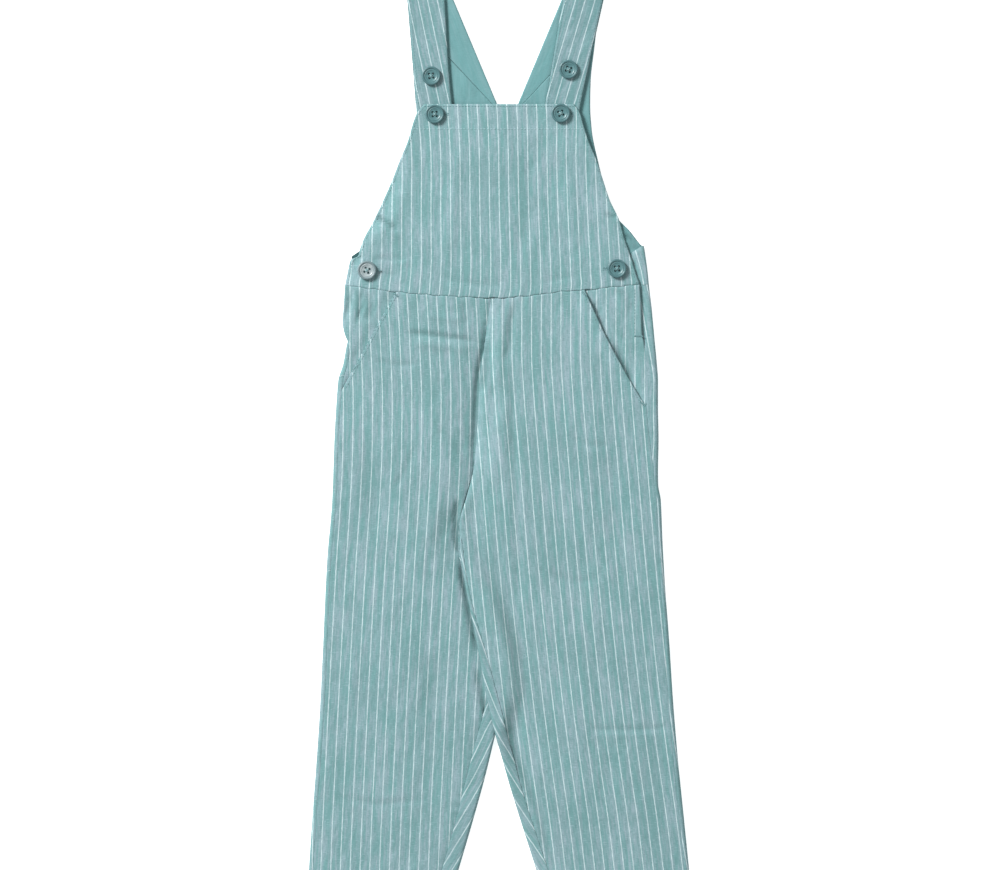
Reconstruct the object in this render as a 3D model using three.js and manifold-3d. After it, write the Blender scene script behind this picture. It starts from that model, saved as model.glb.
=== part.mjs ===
// Kids bib overalls, laid flat on a table with the front up.
// Millimetres. X runs to the right and Y to the shoulders as seen from above, and Z is up.
// The origin is on the table, under the middle of the garment.
// "down" is the distance below the shoulder fold, and left and right are as seen from above.
import * as THREE from 'three';
import { mergeVertices } from 'three/addons/utils/BufferGeometryUtils.js';
import Module from 'manifold-3d';

// Driving sizes
const LENGTH = 855;
const SHOULDER_Y = LENGTH / 2;
const CROTCH_DOWN = 501.5;
const BACK_AXIS = 7.4;
const WAIST_AT = { side: 287, middle: 297 };

// Cloth, and the gap kept between pieces at a seam or where they lie on each other
const CLOTH = 1.2;
const LINING = 1.0;
const GAP = 0.3;

// Outside heights of the layers as they lie on each other
const LINING_FOOT = CLOTH + GAP;
const LINING_TOP = LINING_FOOT + LINING;
const STRAP_LINING_FOOT = LINING_TOP + GAP;
const STRAP_FOOT = STRAP_LINING_FOOT + LINING + GAP;
const STRAP_TOP = STRAP_FOOT + CLOTH;
const PLACKET_HEIGHT = 4.0;
const FRONT_TOP = PLACKET_HEIGHT + GAP + CLOTH;
const BIB_CORNER_TOP = STRAP_TOP + GAP + CLOTH;

// Back armhole edge, as a distance from the middle of the back
const BACK_EDGE = [
  { down: 0, half: 92.5 },
  { down: 29, half: 86 },
  { down: 47, half: 81.5 },
  { down: 74, half: 78 },
  { down: 101, half: 75 },
  { down: 123, half: 74.5 },
  { down: 146, half: 76 },
  { down: 173, half: 81.5 },
  { down: 200, half: 88.5 },
  { down: 223, half: 97.5 },
  { down: 236, half: 110 },
  { down: 250, half: 123 },
];
const ARMHOLE_DOWN = 250;
const TUCK_DOWN = 232;
const WING_SLANT = 3.5;

// Neck: a straight V whose half width shrinks with the distance down
const NECK = { halfAtShoulder: 60.5, slope: 0.419, apexDown: 146 };

// Seam between back bodice and strap, slanting from the armhole edge to the neck edge
const BACK_SEAM = { armholeDown: 50, neckDown: 130, play: 0.25 };

// Sides: the back cloth's fold, the edge of its lap on top, the front's own edge over it where the
// side opens, and the height of the folded cloth
const LEFT_SIDE = [
  { down: 250, fold: -115.6, lap: -103, height: PLACKET_HEIGHT },
  { down: 272, fold: -119.5, lap: -107.5 },
  { down: 287, fold: -122, lap: -111, edge: -139 },
  { down: 303, fold: -125.5, lap: -115, edge: -140 },
  { down: 319, fold: -129, lap: -122, edge: -141 },
  { down: 330, fold: -133.5, lap: -128, edge: -139 },
  { down: 337.5, fold: -137, lap: -132.5, edge: -135.5 },
  { down: 345.5, fold: -138.5, lap: -134.5, edge: -134.1, height: PLACKET_HEIGHT },
  { down: 356.5, fold: -140.5, lap: -136.5, edge: -136.1, height: 5.0 },
  { down: 371, fold: -145, lap: -140.5, edge: -140.1, height: FRONT_TOP },
  { down: 389, fold: -146.5, lap: -142.5, edge: -142.1 },
  { down: 425, fold: -148.5, lap: -144.5, edge: -144.1 },
  { down: 479, fold: -150.5, lap: -146.5, edge: -146.1 },
  { down: 533, fold: -155, lap: -151, edge: -150.6 },
  { down: 605, fold: -158.5, lap: -154.5, edge: -154.1 },
  { down: 659, fold: -161, lap: -157, edge: -156.6 },
  { down: 713, fold: -164.5, lap: -160.5, edge: -160.1 },
  { down: 767, fold: -168.5, lap: -164.5, edge: -164.1 },
  { down: 812, fold: -171.5, lap: -167.5, edge: -167.1 },
  { down: 855, fold: -175, lap: -171, edge: -170.6, height: FRONT_TOP },
];
const RIGHT_SIDE = [
  { down: 250, fold: 130.4, lap: 117, height: PLACKET_HEIGHT },
  { down: 272, fold: 133.5, lap: 118.5 },
  { down: 287, fold: 135, lap: 119.5, edge: 126.5 },
  { down: 303, fold: 137, lap: 120.5, edge: 127.5 },
  { down: 319, fold: 138.5, lap: 121.5, edge: 128 },
  { down: 330, fold: 139.5, lap: 129, edge: 128.5 },
  { down: 345.5, fold: 141, lap: 130, edge: 129.6, height: PLACKET_HEIGHT },
  { down: 356.5, fold: 142, lap: 130.7, edge: 130.3, height: 5.0 },
  { down: 371, fold: 143, lap: 131.5, edge: 131.1, height: FRONT_TOP },
  { down: 395, fold: 143, lap: 132.7, edge: 132.3 },
  { down: 425, fold: 143.5, lap: 135.5, edge: 135.1 },
  { down: 452, fold: 143, lap: 139, edge: 138.6 },
  { down: 465, fold: 143.2, lap: 139.7, edge: 139.3 },
  { down: 479, fold: 145.5, lap: 142, edge: 141.6 },
  { down: 515, fold: 147, lap: 143.2, edge: 142.8 },
  { down: 551, fold: 149, lap: 145.2, edge: 144.8 },
  { down: 605, fold: 153, lap: 149, edge: 148.6 },
  { down: 659, fold: 156.5, lap: 152.5, edge: 152.1 },
  { down: 713, fold: 161, lap: 157, edge: 156.6 },
  { down: 767, fold: 166.5, lap: 162.5, edge: 162.1 },
  { down: 812, fold: 171, lap: 167, edge: 166.6 },
  { down: 855, fold: 175, lap: 171, edge: 170.6, height: FRONT_TOP },
];

// Middle of the garment. Down to the crotch, back is the centre back seam and front the centre front
// seam. Below it, back is the leg's inner fold and front its inseam on top. Height is that of the cloth
// laid together there, and lift is how high the right leg is carried by the left one.
const LEFT_MIDDLE = [
  { down: 297, back: 7, front: -8.5, height: 4.8 },
  { down: 336, back: 5, front: -15.5, height: 4.2 },
  { down: 377, back: 0.5, front: -21, height: 3.6 },
  { down: 418, back: -6.5, front: -23, height: 3.3 },
  { down: 452, back: -15.5, front: -27, height: 3.2 },
  { down: 476, back: -26, front: -32.5, height: 3.0 },
  { down: CROTCH_DOWN, back: -38, front: -38, height: 2.8 },
  { down: 519, back: -34.5, front: -38, height: 2.9 },
  { down: 542, back: -26.5, front: -33.5, height: 3.5 },
  { down: 569, back: -13.5, front: -25.5, height: 4.3 },
  { down: 596, back: -3, front: -17, height: 4.8 },
  { down: 623, back: 3.5, front: -11.5, height: 5 },
  { down: 650, back: 4.5, front: -11, height: 5 },
  { down: 672, back: 1, front: -14.5, height: 5 },
  { down: 690, back: -3.5, front: -19.5, height: 5 },
  { down: 713, back: -9, front: -25.5, height: 5.2 },
  { down: 731, back: -13.5, front: -30, height: 5.4 },
  { down: 767, back: -23.5, front: -39, height: FRONT_TOP },
  { down: 803, back: -34, front: -49, height: FRONT_TOP },
  { down: 855, back: -49.5, front: -65, height: FRONT_TOP },
];
const RIGHT_MIDDLE = [
  { down: 297, back: 7, front: -8.5, height: 4.8, lift: 0 },
  { down: 336, back: 5, front: -15.5, height: 4.5, lift: 0 },
  { down: 377, back: 0.5, front: -21, height: 4.0, lift: 0 },
  { down: 418, back: -6.5, front: -23, height: 3.8, lift: 0 },
  { down: 452, back: -15.5, front: -27, height: 3.7, lift: 0 },
  { down: 476, back: -26, front: -32.5, height: 3.3, lift: 0.6 },
  { down: CROTCH_DOWN, back: -37.6, front: -37.6, height: 2.9, lift: 1.7 },
  { down: 519, back: -36.7, front: -34.2, height: 2.8, lift: 3.4 },
  { down: 542, back: -33.5, front: -31, height: 2.9, lift: 4.0 },
  { down: 569, back: -28, front: -25, height: 3.0, lift: 4.8 },
  { down: 596, back: -22.5, front: -18, height: 3.1, lift: 5.3 },
  { down: 623, back: -17.5, front: -10, height: 3.2, lift: 5.5 },
  { down: 650, back: -12.5, front: -3, height: 3.3, lift: 5.5 },
  { down: 672, back: -8, front: 3, height: 3.5, lift: 5.5 },
  { down: 690, back: -3.5, front: 7, height: 3.9, lift: 5.3 },
  { down: 713, back: 3, front: 13.5, height: 4.4, lift: 2.8 },
  { down: 731, back: 8, front: 18, height: 4.8, lift: 1.3 },
  { down: 767, back: 19, front: 29, height: 5.4, lift: 0 },
  { down: 803, back: 30.5, front: 41, height: FRONT_TOP, lift: 0 },
  { down: 855, back: 46.5, front: 57.5, height: FRONT_TOP, lift: 0 },
];
const LIFT_SHOULDER = { start: 1.6, width: 18 };

// Waist seam, by its place across
const WAIST = [
  { across: -139, down: 285.5 },
  { across: -94, down: 291.5 },
  { across: -53, down: 295 },
  { across: -2, down: 297 },
  { across: 28, down: 295 },
  { across: 55, down: 291.5 },
  { across: 82, down: 289.5 },
  { across: 104, down: 287 },
  { across: 127, down: 285 },
];

// Bib outline, and where its left part leaves the layers under it and sinks to the table
const BIB = [
  { down: 122.5, left: -67.5, right: 67, rest: -78 },
  { down: 130.5, left: -74, right: 72.5 },
  { down: 141, left: -78, right: 75.5 },
  { down: 155, left: -82, right: 80, rest: -79 },
  { down: 173, left: -89.5, right: 87.5, rest: -80 },
  { down: 191, left: -96.5, right: 93.5, rest: -81 },
  { down: 209, left: -104.5, right: 99.5, rest: -84.5 },
  { down: 227, left: -113, right: 108, rest: -94 },
  { down: 245, left: -122.5, right: 113, rest: -112 },
  { down: 258, left: -132.5, right: 117.5, rest: -118.5 },
  { down: 272, left: -136, right: 121.5, rest: -121 },
  { down: 287, left: -139, right: 126.5, rest: -123.5 },
  { down: 319, rest: -130.5 },
  { down: 337.5, rest: -138.5 },
];
const BIB_SINK = { reach: 22, depth: 3.6 };

// Front part of each strap, from the shoulder fold to its end under the bib
const STRAPS = {
  left: [
    { down: 0, inner: -52, outer: -85 },
    { down: 29, inner: -49, outer: -82.5 },
    { down: 65, inner: -47, outer: -79.5 },
    { down: 96, inner: -45, outer: -77 },
    { down: 122, inner: -42.5, outer: -75 },
    { down: 151, inner: -40, outer: -73 },
  ],
  right: [
    { down: 0, inner: 65, outer: 99.9 },
    { down: 29, inner: 57.5, outer: 93.5 },
    { down: 65, inner: 51, outer: 85.5 },
    { down: 96, inner: 46, outer: 79 },
    { down: 122, inner: 41.5, outer: 73.5 },
    { down: 151, inner: 37.5, outer: 69 },
  ],
};

// Pocket mouths: a nearly straight cut from the waist seam to the outseam
const POCKETS = {
  left: { top: { across: -93, down: 291 }, foot: { across: -141.2, down: 379 }, bow: 0, gape: 0.4 },
  right: { top: { across: 77, down: 290 }, foot: { across: 132.2, down: 395 }, bow: -1.8, gape: 2.2 },
};
const HIP = { hidden: 15, slopeStart: 12, slopeWidth: 10, endAbove: 5 };

// How a front leg lies: it sinks to the seam over seamValley, crowns in its middle, and its pocket edge
// lifts over gapeWidth. Its folds fade out between foldsFull and foldsStart from the seam.
const FRONT_SHAPE = { seamValley: 28, crown: 0.5, gapeWidth: 16, foldsStart: 3, foldsFull: 13 };

// How the bib lies: it comes down from the straps' height over overStrapsWidth, and crowns a little
const BIB_SHAPE = { strapsEndDown: 160, overStrapsWidth: 40, crown: 0.4, crownHalf: 70 };

// Large soft folds pressed into the front legs: a ridge or a trough along a line
const FOLDS = {
  left: [
    { from: [-72, 328], to: [-15, 336], half: 5, rise: -0.6 },
    { from: [-52, 300], to: [-22, 326], half: 7, rise: 0.6 },
    { from: [-46, 470], to: [-80, 560], half: 9, rise: 0.5 },
    { from: [-60, 600], to: [-70, 720], half: 12, rise: -0.5 },
    { from: [-120, 400], to: [-112, 520], half: 12, rise: -0.4 },
  ],
  right: [
    { from: [-4, 302], to: [-12, 345], half: 5, rise: 0.9 },
    { from: [4, 345], to: [-8, 440], half: 8, rise: 0.6 },
    { from: [-12, 505], to: [20, 640], half: 9, rise: -0.5 },
    { from: [96, 420], to: [104, 540], half: 12, rise: -0.4 },
    { from: [60, 640], to: [84, 760], half: 14, rise: 0.5 },
  ],
};

const BUTTON = { radius: 8.5, thickness: 2.8, dish: 0.8, holeRadius: 0.85, holeOffset: 1.75, sides: 20 };
const BUTTONS = [
  { name: 'button_strap_left', across: -61.2, down: 97.2, on: 'strap', pale: false },
  { name: 'button_strap_right', across: 62.3, down: 91.4, on: 'strap', pale: false },
  { name: 'button_bib_left', across: -58.1, down: 131.8, on: 'bib', pale: false },
  { name: 'button_bib_right', across: 55.3, down: 131, on: 'bib', pale: false },
  { name: 'button_side_left', across: -119, down: 272.2, on: 'bib', pale: true },
  { name: 'button_side_right', across: 106, down: 270.6, on: 'bib', pale: false },
];

// Rows of the leg pieces, below the waist seam
const LEG_ROWS = [303, 311, 319, 330, 337.5, 345.5, 356.5, 371, 379, 395, 410, 425, 452, 476, CROTCH_DOWN,
  519, 542, 569, 596, 623, 650, 672, 690, 713, 731, 749, 767, 803, 829, 855];

// Numbers and curves
const mix = (from, to, t) => from + (to - from) * t;
const clamp = (t) => Math.min(1, Math.max(0, t));
const ease = (t) => clamp(t) ** 2 * (3 - 2 * clamp(t));
const steps = (count) => Array.from({ length: count + 1 }, (_, k) => k / count);

// A smooth curve through points [t, value] that never overshoots them
function curve(points) {
  const rise = points.slice(1).map(([t, v], k) => (v - points[k][1]) / (t - points[k][0]));
  const slopes = points.map((_, k) => {
    if (k === 0) return rise[0];
    if (k === points.length - 1) return rise[k - 1];
    const product = rise[k - 1] * rise[k];
    return product > 0 ? (2 * product) / (rise[k - 1] + rise[k]) : 0;
  });
  return (t) => {
    if (t <= points[0][0]) return points[0][1];
    const next = points.findIndex(([end]) => end >= t);
    if (next < 0) return points[points.length - 1][1];
    const [t0, v0] = points[next - 1];
    const [t1, v1] = points[next];
    const w = t1 - t0;
    const s = (t - t0) / w;
    return v0 * (1 + 2 * s) * (1 - s) ** 2 + v1 * s * s * (3 - 2 * s)
      + w * slopes[next - 1] * s * (1 - s) ** 2 - w * slopes[next] * s * s * (1 - s);
  };
}

// The curve of one named column of a table, against its distance down
function column(table, name, key = 'down') {
  return curve(table.filter((row) => name in row).map((row) => [row[key], row[name]]));
}

const backHalf = column(BACK_EDGE, 'half');
const waist = column(WAIST, 'down', 'across');
const bib = { left: column(BIB, 'left'), right: column(BIB, 'right'), rest: column(BIB, 'rest') };
const side = {};
const middle = {};
for (const [hand, sideTable, middleTable] of [
  ['left', LEFT_SIDE, LEFT_MIDDLE],
  ['right', RIGHT_SIDE, RIGHT_MIDDLE],
]) {
  side[hand] = {};
  for (const name of ['fold', 'lap', 'edge', 'height']) side[hand][name] = column(sideTable, name);
  middle[hand] = {};
  for (const name of ['back', 'front', 'height']) middle[hand][name] = column(middleTable, name);
}
const liftAtFold = column(RIGHT_MIDDLE, 'lift');
const OUTWARD = { left: -1, right: 1 };

// Half the width of the neck's V
function neckHalf(down) {
  return Math.max(0, NECK.halfAtShoulder - NECK.slope * down);
}

// Where a pocket mouth lies across, at a distance down
function mouth(hand, down) {
  const { top, foot, bow } = POCKETS[hand];
  const t = (down - top.down) / (foot.down - top.down);
  return mix(top.across, foot.across, t) + bow * Math.sin(Math.PI * clamp(t));
}

// Where the right leg starts to come down from the left leg's inner fold
function liftShoulder(down) {
  return Math.max(middle.left.back(down), middle.right.back(down)) + LIFT_SHOULDER.start;
}

// How high the underside of a leg is carried above the table
function lift(hand, x, down) {
  if (hand === 'left') return 0;
  return liftAtFold(down) * (1 - ease((x - liftShoulder(down)) / LIFT_SHOULDER.width));
}

// Height of a soft ridge or trough at a point
function foldRise(folds, x, down) {
  let sum = 0;
  for (const { from, to, half, rise } of folds) {
    const along = [to[0] - from[0], to[1] - from[1]];
    const size = Math.hypot(...along);
    const t = ((x - from[0]) * along[0] + (down - from[1]) * along[1]) / size ** 2;
    const off = ((x - from[0]) * along[1] - (down - from[1]) * along[0]) / size;
    sum += rise * Math.exp(-((off / half) ** 2)) * ease(t * 4) * ease((1 - t) * 4);
  }
  return sum;
}

// Top of a front leg's cloth
function frontTop(hand, x, down) {
  const fromSeam = Math.abs(x - middle[hand].front(down));
  const width = Math.abs(side[hand].lap(down) - middle[hand].front(down));
  const seamTop = middle[hand].height(down);
  const flat = mix(seamTop, FRONT_TOP, ease(fromSeam / FRONT_SHAPE.seamValley));
  const crown = FRONT_SHAPE.crown * Math.sin(Math.PI * clamp(fromSeam / width));
  const { top, foot, gape } = POCKETS[hand];
  const alongMouth = clamp((down - top.down) / (foot.down - top.down));
  const fromMouth = Math.abs(x - mouth(hand, down));
  const open = gape * Math.sin(Math.PI * alongMouth) * (1 - ease(fromMouth / FRONT_SHAPE.gapeWidth));
  const { foldsStart, foldsFull } = FRONT_SHAPE;
  const folds = foldRise(FOLDS[hand], x, down) * ease((fromSeam - foldsStart) / (foldsFull - foldsStart));
  return flat + crown + open + folds + lift(hand, x, down);
}

// How far the left part of the front sinks towards the table, past the layers under it
function sink(x, down) {
  return BIB_SINK.depth * ease((bib.rest(down) - x) / BIB_SINK.reach);
}

// Top of the bib's cloth
function bibTop(x, down) {
  const overStraps = 1 - ease((down - BIB_SHAPE.strapsEndDown) / BIB_SHAPE.overStrapsWidth);
  const middleOfBib = (bib.left(down) + bib.right(down)) / 2;
  const crown = BIB_SHAPE.crown * ease(1 - Math.abs(x - middleOfBib) / BIB_SHAPE.crownHalf);
  return mix(FRONT_TOP, BIB_CORNER_TOP, overStraps) + crown - sink(x, down);
}

// Top of a hip piece's cloth: level at the side, lower where the pocket mouth covers it
function hipTop(hand, x, down) {
  const inward = (mouth(hand, down) - x) * OUTWARD[hand];
  const dip = (FRONT_TOP - PLACKET_HEIGHT) * ease((HIP.slopeStart + inward) / HIP.slopeWidth);
  return FRONT_TOP - dip - (hand === 'left' ? sink(x, down) : 0);
}

// A wall of cloth over a grid of point pairs [outside, inside], null where there is no cloth.
// The rim is closed wherever the cloth ends.
function clothWall(grid) {
  const positions = [];
  const ids = grid.map((row) => row.map((pair) => {
    if (!pair) return -1;
    positions.push(...pair[0], ...pair[1]);
    return positions.length / 3 - 2;
  }));
  const faces = [];
  const edges = new Set();
  for (let i = 0; i + 1 < ids.length; i += 1) {
    for (let j = 0; j + 1 < ids[i].length; j += 1) {
      const ring = [ids[i][j], ids[i][j + 1], ids[i + 1][j + 1], ids[i + 1][j]];
      if (ring.includes(-1)) continue;
      const [a, b, c, d] = ring;
      faces.push(a, b, c, a, c, d, a + 1, c + 1, b + 1, a + 1, d + 1, c + 1);
      ring.forEach((from, k) => edges.add(`${from} ${ring[(k + 1) % 4]}`));
    }
  }
  for (const edge of edges) {
    const [from, to] = edge.split(' ').map(Number);
    if (!edges.has(`${to} ${from}`)) faces.push(to, from, from + 1, to, from + 1, to + 1);
  }
  const geometry = new THREE.BufferGeometry();
  geometry.setAttribute('position', new THREE.Float32BufferAttribute(positions, 3));
  geometry.setIndex(volume(positions, faces) < 0 ? faces.reverse() : faces);
  geometry.computeVertexNormals();
  return geometry;
}

function volume(positions, faces) {
  const point = (id) => new THREE.Vector3().fromArray(positions, id * 3);
  let sum = 0;
  for (let k = 0; k < faces.length; k += 3) {
    sum += point(faces[k]).dot(point(faces[k + 1]).cross(point(faces[k + 2]))) / 6;
  }
  return sum;
}

// A point pair of cloth that lies level, from its top height
function level(x, down, top, thickness) {
  const y = SHOULDER_Y - down;
  return [[x, y, top], [x, y, top - thickness]];
}

// Point pairs round a fold, from the table (t = 0) to the top (t = 1)
function roundFold(edgeX, outward, height, t, down, raised, thickness) {
  const radius = height / 2;
  const angle = Math.PI * (t - 0.5);
  const centre = edgeX - outward * radius;
  const at = (r) => [centre + outward * r * Math.cos(angle), SHOULDER_Y - down,
    raised + radius + r * Math.sin(angle)];
  return [at(radius), at(radius - thickness)];
}

// Columns round a side or inner fold: arc steps, then steps along the lap on top
const ARC = steps(6).slice(1);
const LAP = [0.5, 1];

function foldedColumns(edgeX, lapX, outward, height, down, liftAt) {
  const pairs = ARC.map((t) => roundFold(edgeX, outward, height, t, down, liftAt(edgeX), CLOTH));
  const turn = edgeX - (outward * height) / 2;
  const end = outward * (turn - lapX) > 0.2 ? lapX : turn - outward * 0.2;
  for (const t of LAP) {
    const x = mix(turn, end, t);
    pairs.push(level(x, down, liftAt(x) + height, CLOTH));
  }
  return pairs;
}

// A back leg, flat on the table, round its outer fold to the outseam, and below the crotch round its
// inner fold to the inseam
function backLeg(hand) {
  const out = OUTWARD[hand];
  const none = [...ARC, ...LAP].map(() => null);
  return [0, ...LEG_ROWS].map((row) => {
    const downAt = (x) => (row === 0 ? waist(x) + GAP / 2 : row);
    const down = downAt(side[hand].fold(row || WAIST_AT.side));
    const fold = side[hand].fold(down);
    const height = side[hand].height(down);
    const outer = foldedColumns(fold, side[hand].lap(down), out, height, down, () => 0);
    const legged = row >= CROTCH_DOWN;
    const innerHeight = middle[hand].height(down);
    const inset = legged ? innerHeight / 2 : GAP / 2;
    const inner = middle[hand].back(row || WAIST_AT.middle) + out * inset;
    const near = hand === 'right' ? Math.max(inner + 0.4, liftShoulder(down)) : inner - 0.4;
    const far = near + out * LIFT_SHOULDER.width;
    const outerEnd = fold - (out * height) / 2;
    const places = [...[0, 0.3, 0.65].map((t) => mix(outerEnd, far, t)), far,
      mix(far, near, 0.35), mix(far, near, 0.65), near, inner];
    const floor = places.map((x) => level(x, downAt(x), lift(hand, x, down), -CLOTH));
    const wing = legged
      ? foldedColumns(middle[hand].back(down), middle[hand].front(down), -out, innerHeight, down,
        (x) => lift(hand, x, down))
      : none;
    return [...outer.reverse(), ...floor, ...wing];
  });
}

// A front leg, from the pocket mouth or outseam to the centre front seam or inseam
function frontLeg(hand) {
  const out = OUTWARD[hand];
  const across = [0, 0.05, 0.13, 0.25, 0.38, 0.51, 0.63, 0.73, 0.81, 0.88, 0.94, 1];
  return [0, ...LEG_ROWS].map((row) => {
    const flat = row || POCKETS[hand].top.down;
    const outer = flat < POCKETS[hand].foot.down ? mouth(hand, flat) : side[hand].edge(flat);
    const seam = middle[hand].front(flat);
    const turn = middle[hand].back(flat) + (out * middle[hand].height(flat)) / 2 + out * 0.2;
    const legged = row >= CROTCH_DOWN;
    const inner = legged ? out * Math.max(out * seam, out * turn) + out * GAP : seam + (out * GAP) / 2;
    return across.map((t) => {
      const x = mix(outer, inner, t);
      const down = row || waist(x) + GAP / 2;
      return level(x, down, frontTop(hand, x, down), CLOTH);
    });
  });
}

// A hip piece, from the side edge to under the front leg
function hipPiece(hand) {
  const out = OUTWARD[hand];
  const end = POCKETS[hand].foot.down - HIP.endAbove;
  const rows = [0, ...LEG_ROWS.filter((row) => row < end - 2), end];
  return rows.map((row) => {
    const flat = row || WAIST_AT.side;
    const outer = side[hand].edge(flat);
    const inner = mouth(hand, Math.max(flat, POCKETS[hand].top.down)) - out * HIP.hidden;
    return steps(8).map((t) => {
      const x = mix(outer, inner, t);
      const down = row || waist(x) + GAP / 2;
      return level(x, down, hipTop(hand, x, down), CLOTH);
    });
  });
}

function frontBib() {
  const rows = [...BIB.filter((row) => 'left' in row && row.down < WAIST_AT.side).map((row) => row.down), 0];
  return rows.map((row) => {
    const flat = row || WAIST_AT.side;
    return steps(16).map((t) => {
      const x = mix(bib.left(flat), bib.right(flat), t);
      const down = row || waist(x) - GAP / 2;
      return level(x, down, bibTop(x, down), CLOTH);
    });
  });
}

// Edges of the back bodice, armhole and then side fold
function backEdge(hand, down) {
  const out = OUTWARD[hand];
  return down < ARMHOLE_DOWN ? BACK_AXIS + out * backHalf(down) : side[hand].fold(down);
}

// Columns of the back bodice: its share across, and where its top edge lies
function bodiceColumns() {
  const right = [0, 0.14, 0.28, 0.43, 0.58, 0.74, 0.88, 1].map((t) => {
    const top = mix(BACK_SEAM.armholeDown, BACK_SEAM.neckDown, t);
    const half = mix(backHalf(BACK_SEAM.armholeDown), neckHalf(BACK_SEAM.neckDown), t);
    return { share: 0.5 + half / backHalf(top) / 2, top: top + BACK_SEAM.play };
  });
  const left = right.map(({ share, top }) => ({ share: 1 - share, top }));
  return [...left, { share: 0.5, top: NECK.apexDown }, ...right.reverse()];
}
const ARMHOLE_ROW = (ARMHOLE_DOWN - BACK_SEAM.armholeDown) / (WAIST_AT.side - BACK_SEAM.armholeDown);
const BODICE_ROWS = [0, 0.12, 0.24, 0.36, 0.48, 0.6, 0.72, 0.79, ARMHOLE_ROW, 0.92, 1];

// The back bodice or its lining. inset keeps the lining inside the side folds.
function bodiceFloor(foot, thickness, inset) {
  const columns = bodiceColumns();
  return BODICE_ROWS.map((v) => columns.map(({ share, top }) => {
    const x0 = mix(backEdge('left', WAIST_AT.side), backEdge('right', WAIST_AT.side), share);
    const down = mix(top, waist(x0) - GAP / 2, v);
    const tuck = inset * ease((down - TUCK_DOWN) / (ARMHOLE_DOWN - TUCK_DOWN));
    const x = mix(backEdge('left', down) + tuck, backEdge('right', down) - tuck, share);
    return level(x, down, foot, -thickness);
  }));
}

// The back bodice's wrap round one side, from the armhole down
function bodiceWing(hand) {
  const out = OUTWARD[hand];
  const count = ARC.length + LAP.length;
  return BODICE_ROWS.map((v) => {
    if (v < ARMHOLE_ROW) return Array(count).fill(null);
    const t = (v - ARMHOLE_ROW) / (1 - ARMHOLE_ROW);
    const pairs = [];
    for (let k = 0; k < count; k += 1) {
      const slant = WING_SLANT * Math.max(0, k - ARC.length + 1);
      const start = ARMHOLE_DOWN + slant;
      const foot = waist(side[hand].fold(WAIST_AT.side)) - GAP / 2;
      const down = mix(start, foot, t);
      const lapX = side[hand].lap(down);
      pairs.push(foldedColumns(side[hand].fold(down), lapX, out, PLACKET_HEIGHT, down, () => 0)[k]);
    }
    return pairs;
  });
}

function backBodice() {
  const floor = bodiceFloor(0, CLOTH, PLACKET_HEIGHT / 2);
  const left = bodiceWing('left');
  const right = bodiceWing('right');
  return floor.map((row, i) => [...left[i].reverse(), ...row, ...right[i]]);
}

// A strap from its end under the bib, over the shoulder fold, to the slanted seam on the back.
// depth is how far the layer lies inside the strap's outer face, and inset how far inside its edges.
function strap(hand, depth, thickness, inset) {
  const out = OUTWARD[hand];
  const inner = column(STRAPS[hand], 'inner');
  const outer = column(STRAPS[hand], 'outer');
  const across = steps(4);
  const front = STRAPS[hand].map((row) => row.down).reverse().slice(0, -1);
  const radius = STRAP_TOP / 2;
  const edges = (innerX, outerX, t) => mix(innerX + out * inset, outerX - out * inset, t);
  const rows = [...front, radius].map((down) => across.map((t) => {
    const x = edges(inner(down), outer(down), t);
    return level(x, down + (down === STRAPS[hand].at(-1).down ? -inset : 0), STRAP_TOP - depth, thickness);
  }));
  for (const turn of steps(6).slice(1, -1)) {
    const angle = Math.PI * (0.5 - turn);
    rows.push(across.map((t) => {
      const x = edges(inner(0), outer(0), t);
      const at = (r) => [x, SHOULDER_Y - radius + r * Math.cos(angle), radius + r * Math.sin(angle)];
      return [at(radius - depth), at(radius - depth - thickness)];
    }));
  }
  for (const v of [0, 0.2, 0.4, 0.6, 0.8, 1]) {
    const play = (BACK_SEAM.play + inset * 1.2) * v;
    const outerDown = mix(radius, BACK_SEAM.armholeDown, v) - play;
    const innerDown = mix(radius, BACK_SEAM.neckDown, v) - play;
    const settle = ease(v * 5);
    const outerX = mix(outer(0), BACK_AXIS + out * backHalf(outerDown), settle);
    const innerX = mix(inner(0), BACK_AXIS + out * neckHalf(innerDown), settle);
    rows.push(across.map((t) => {
      const x = edges(innerX, outerX, t);
      return level(x, mix(innerDown, outerDown, t), depth, -thickness);
    }));
  }
  return rows;
}

// Buttons: a dished disc with a rounded rim and four sewing holes
const manifold = await Module();
manifold.setup();

function toManifold(geometry) {
  const plain = geometry.clone();
  plain.deleteAttribute('normal');
  plain.deleteAttribute('uv');
  const merged = mergeVertices(plain, 1e-4);
  return new manifold.Manifold(new manifold.Mesh({
    numProp: 3,
    vertProperties: new Float32Array(merged.attributes.position.array),
    triVerts: new Uint32Array(merged.index.array),
  }));
}

function fromManifold(solid) {
  const mesh = solid.getMesh();
  const geometry = new THREE.BufferGeometry();
  geometry.setAttribute('position', new THREE.Float32BufferAttribute(mesh.vertProperties, 3));
  geometry.setIndex(Array.from(mesh.triVerts));
  geometry.computeVertexNormals();
  return geometry;
}

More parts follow.
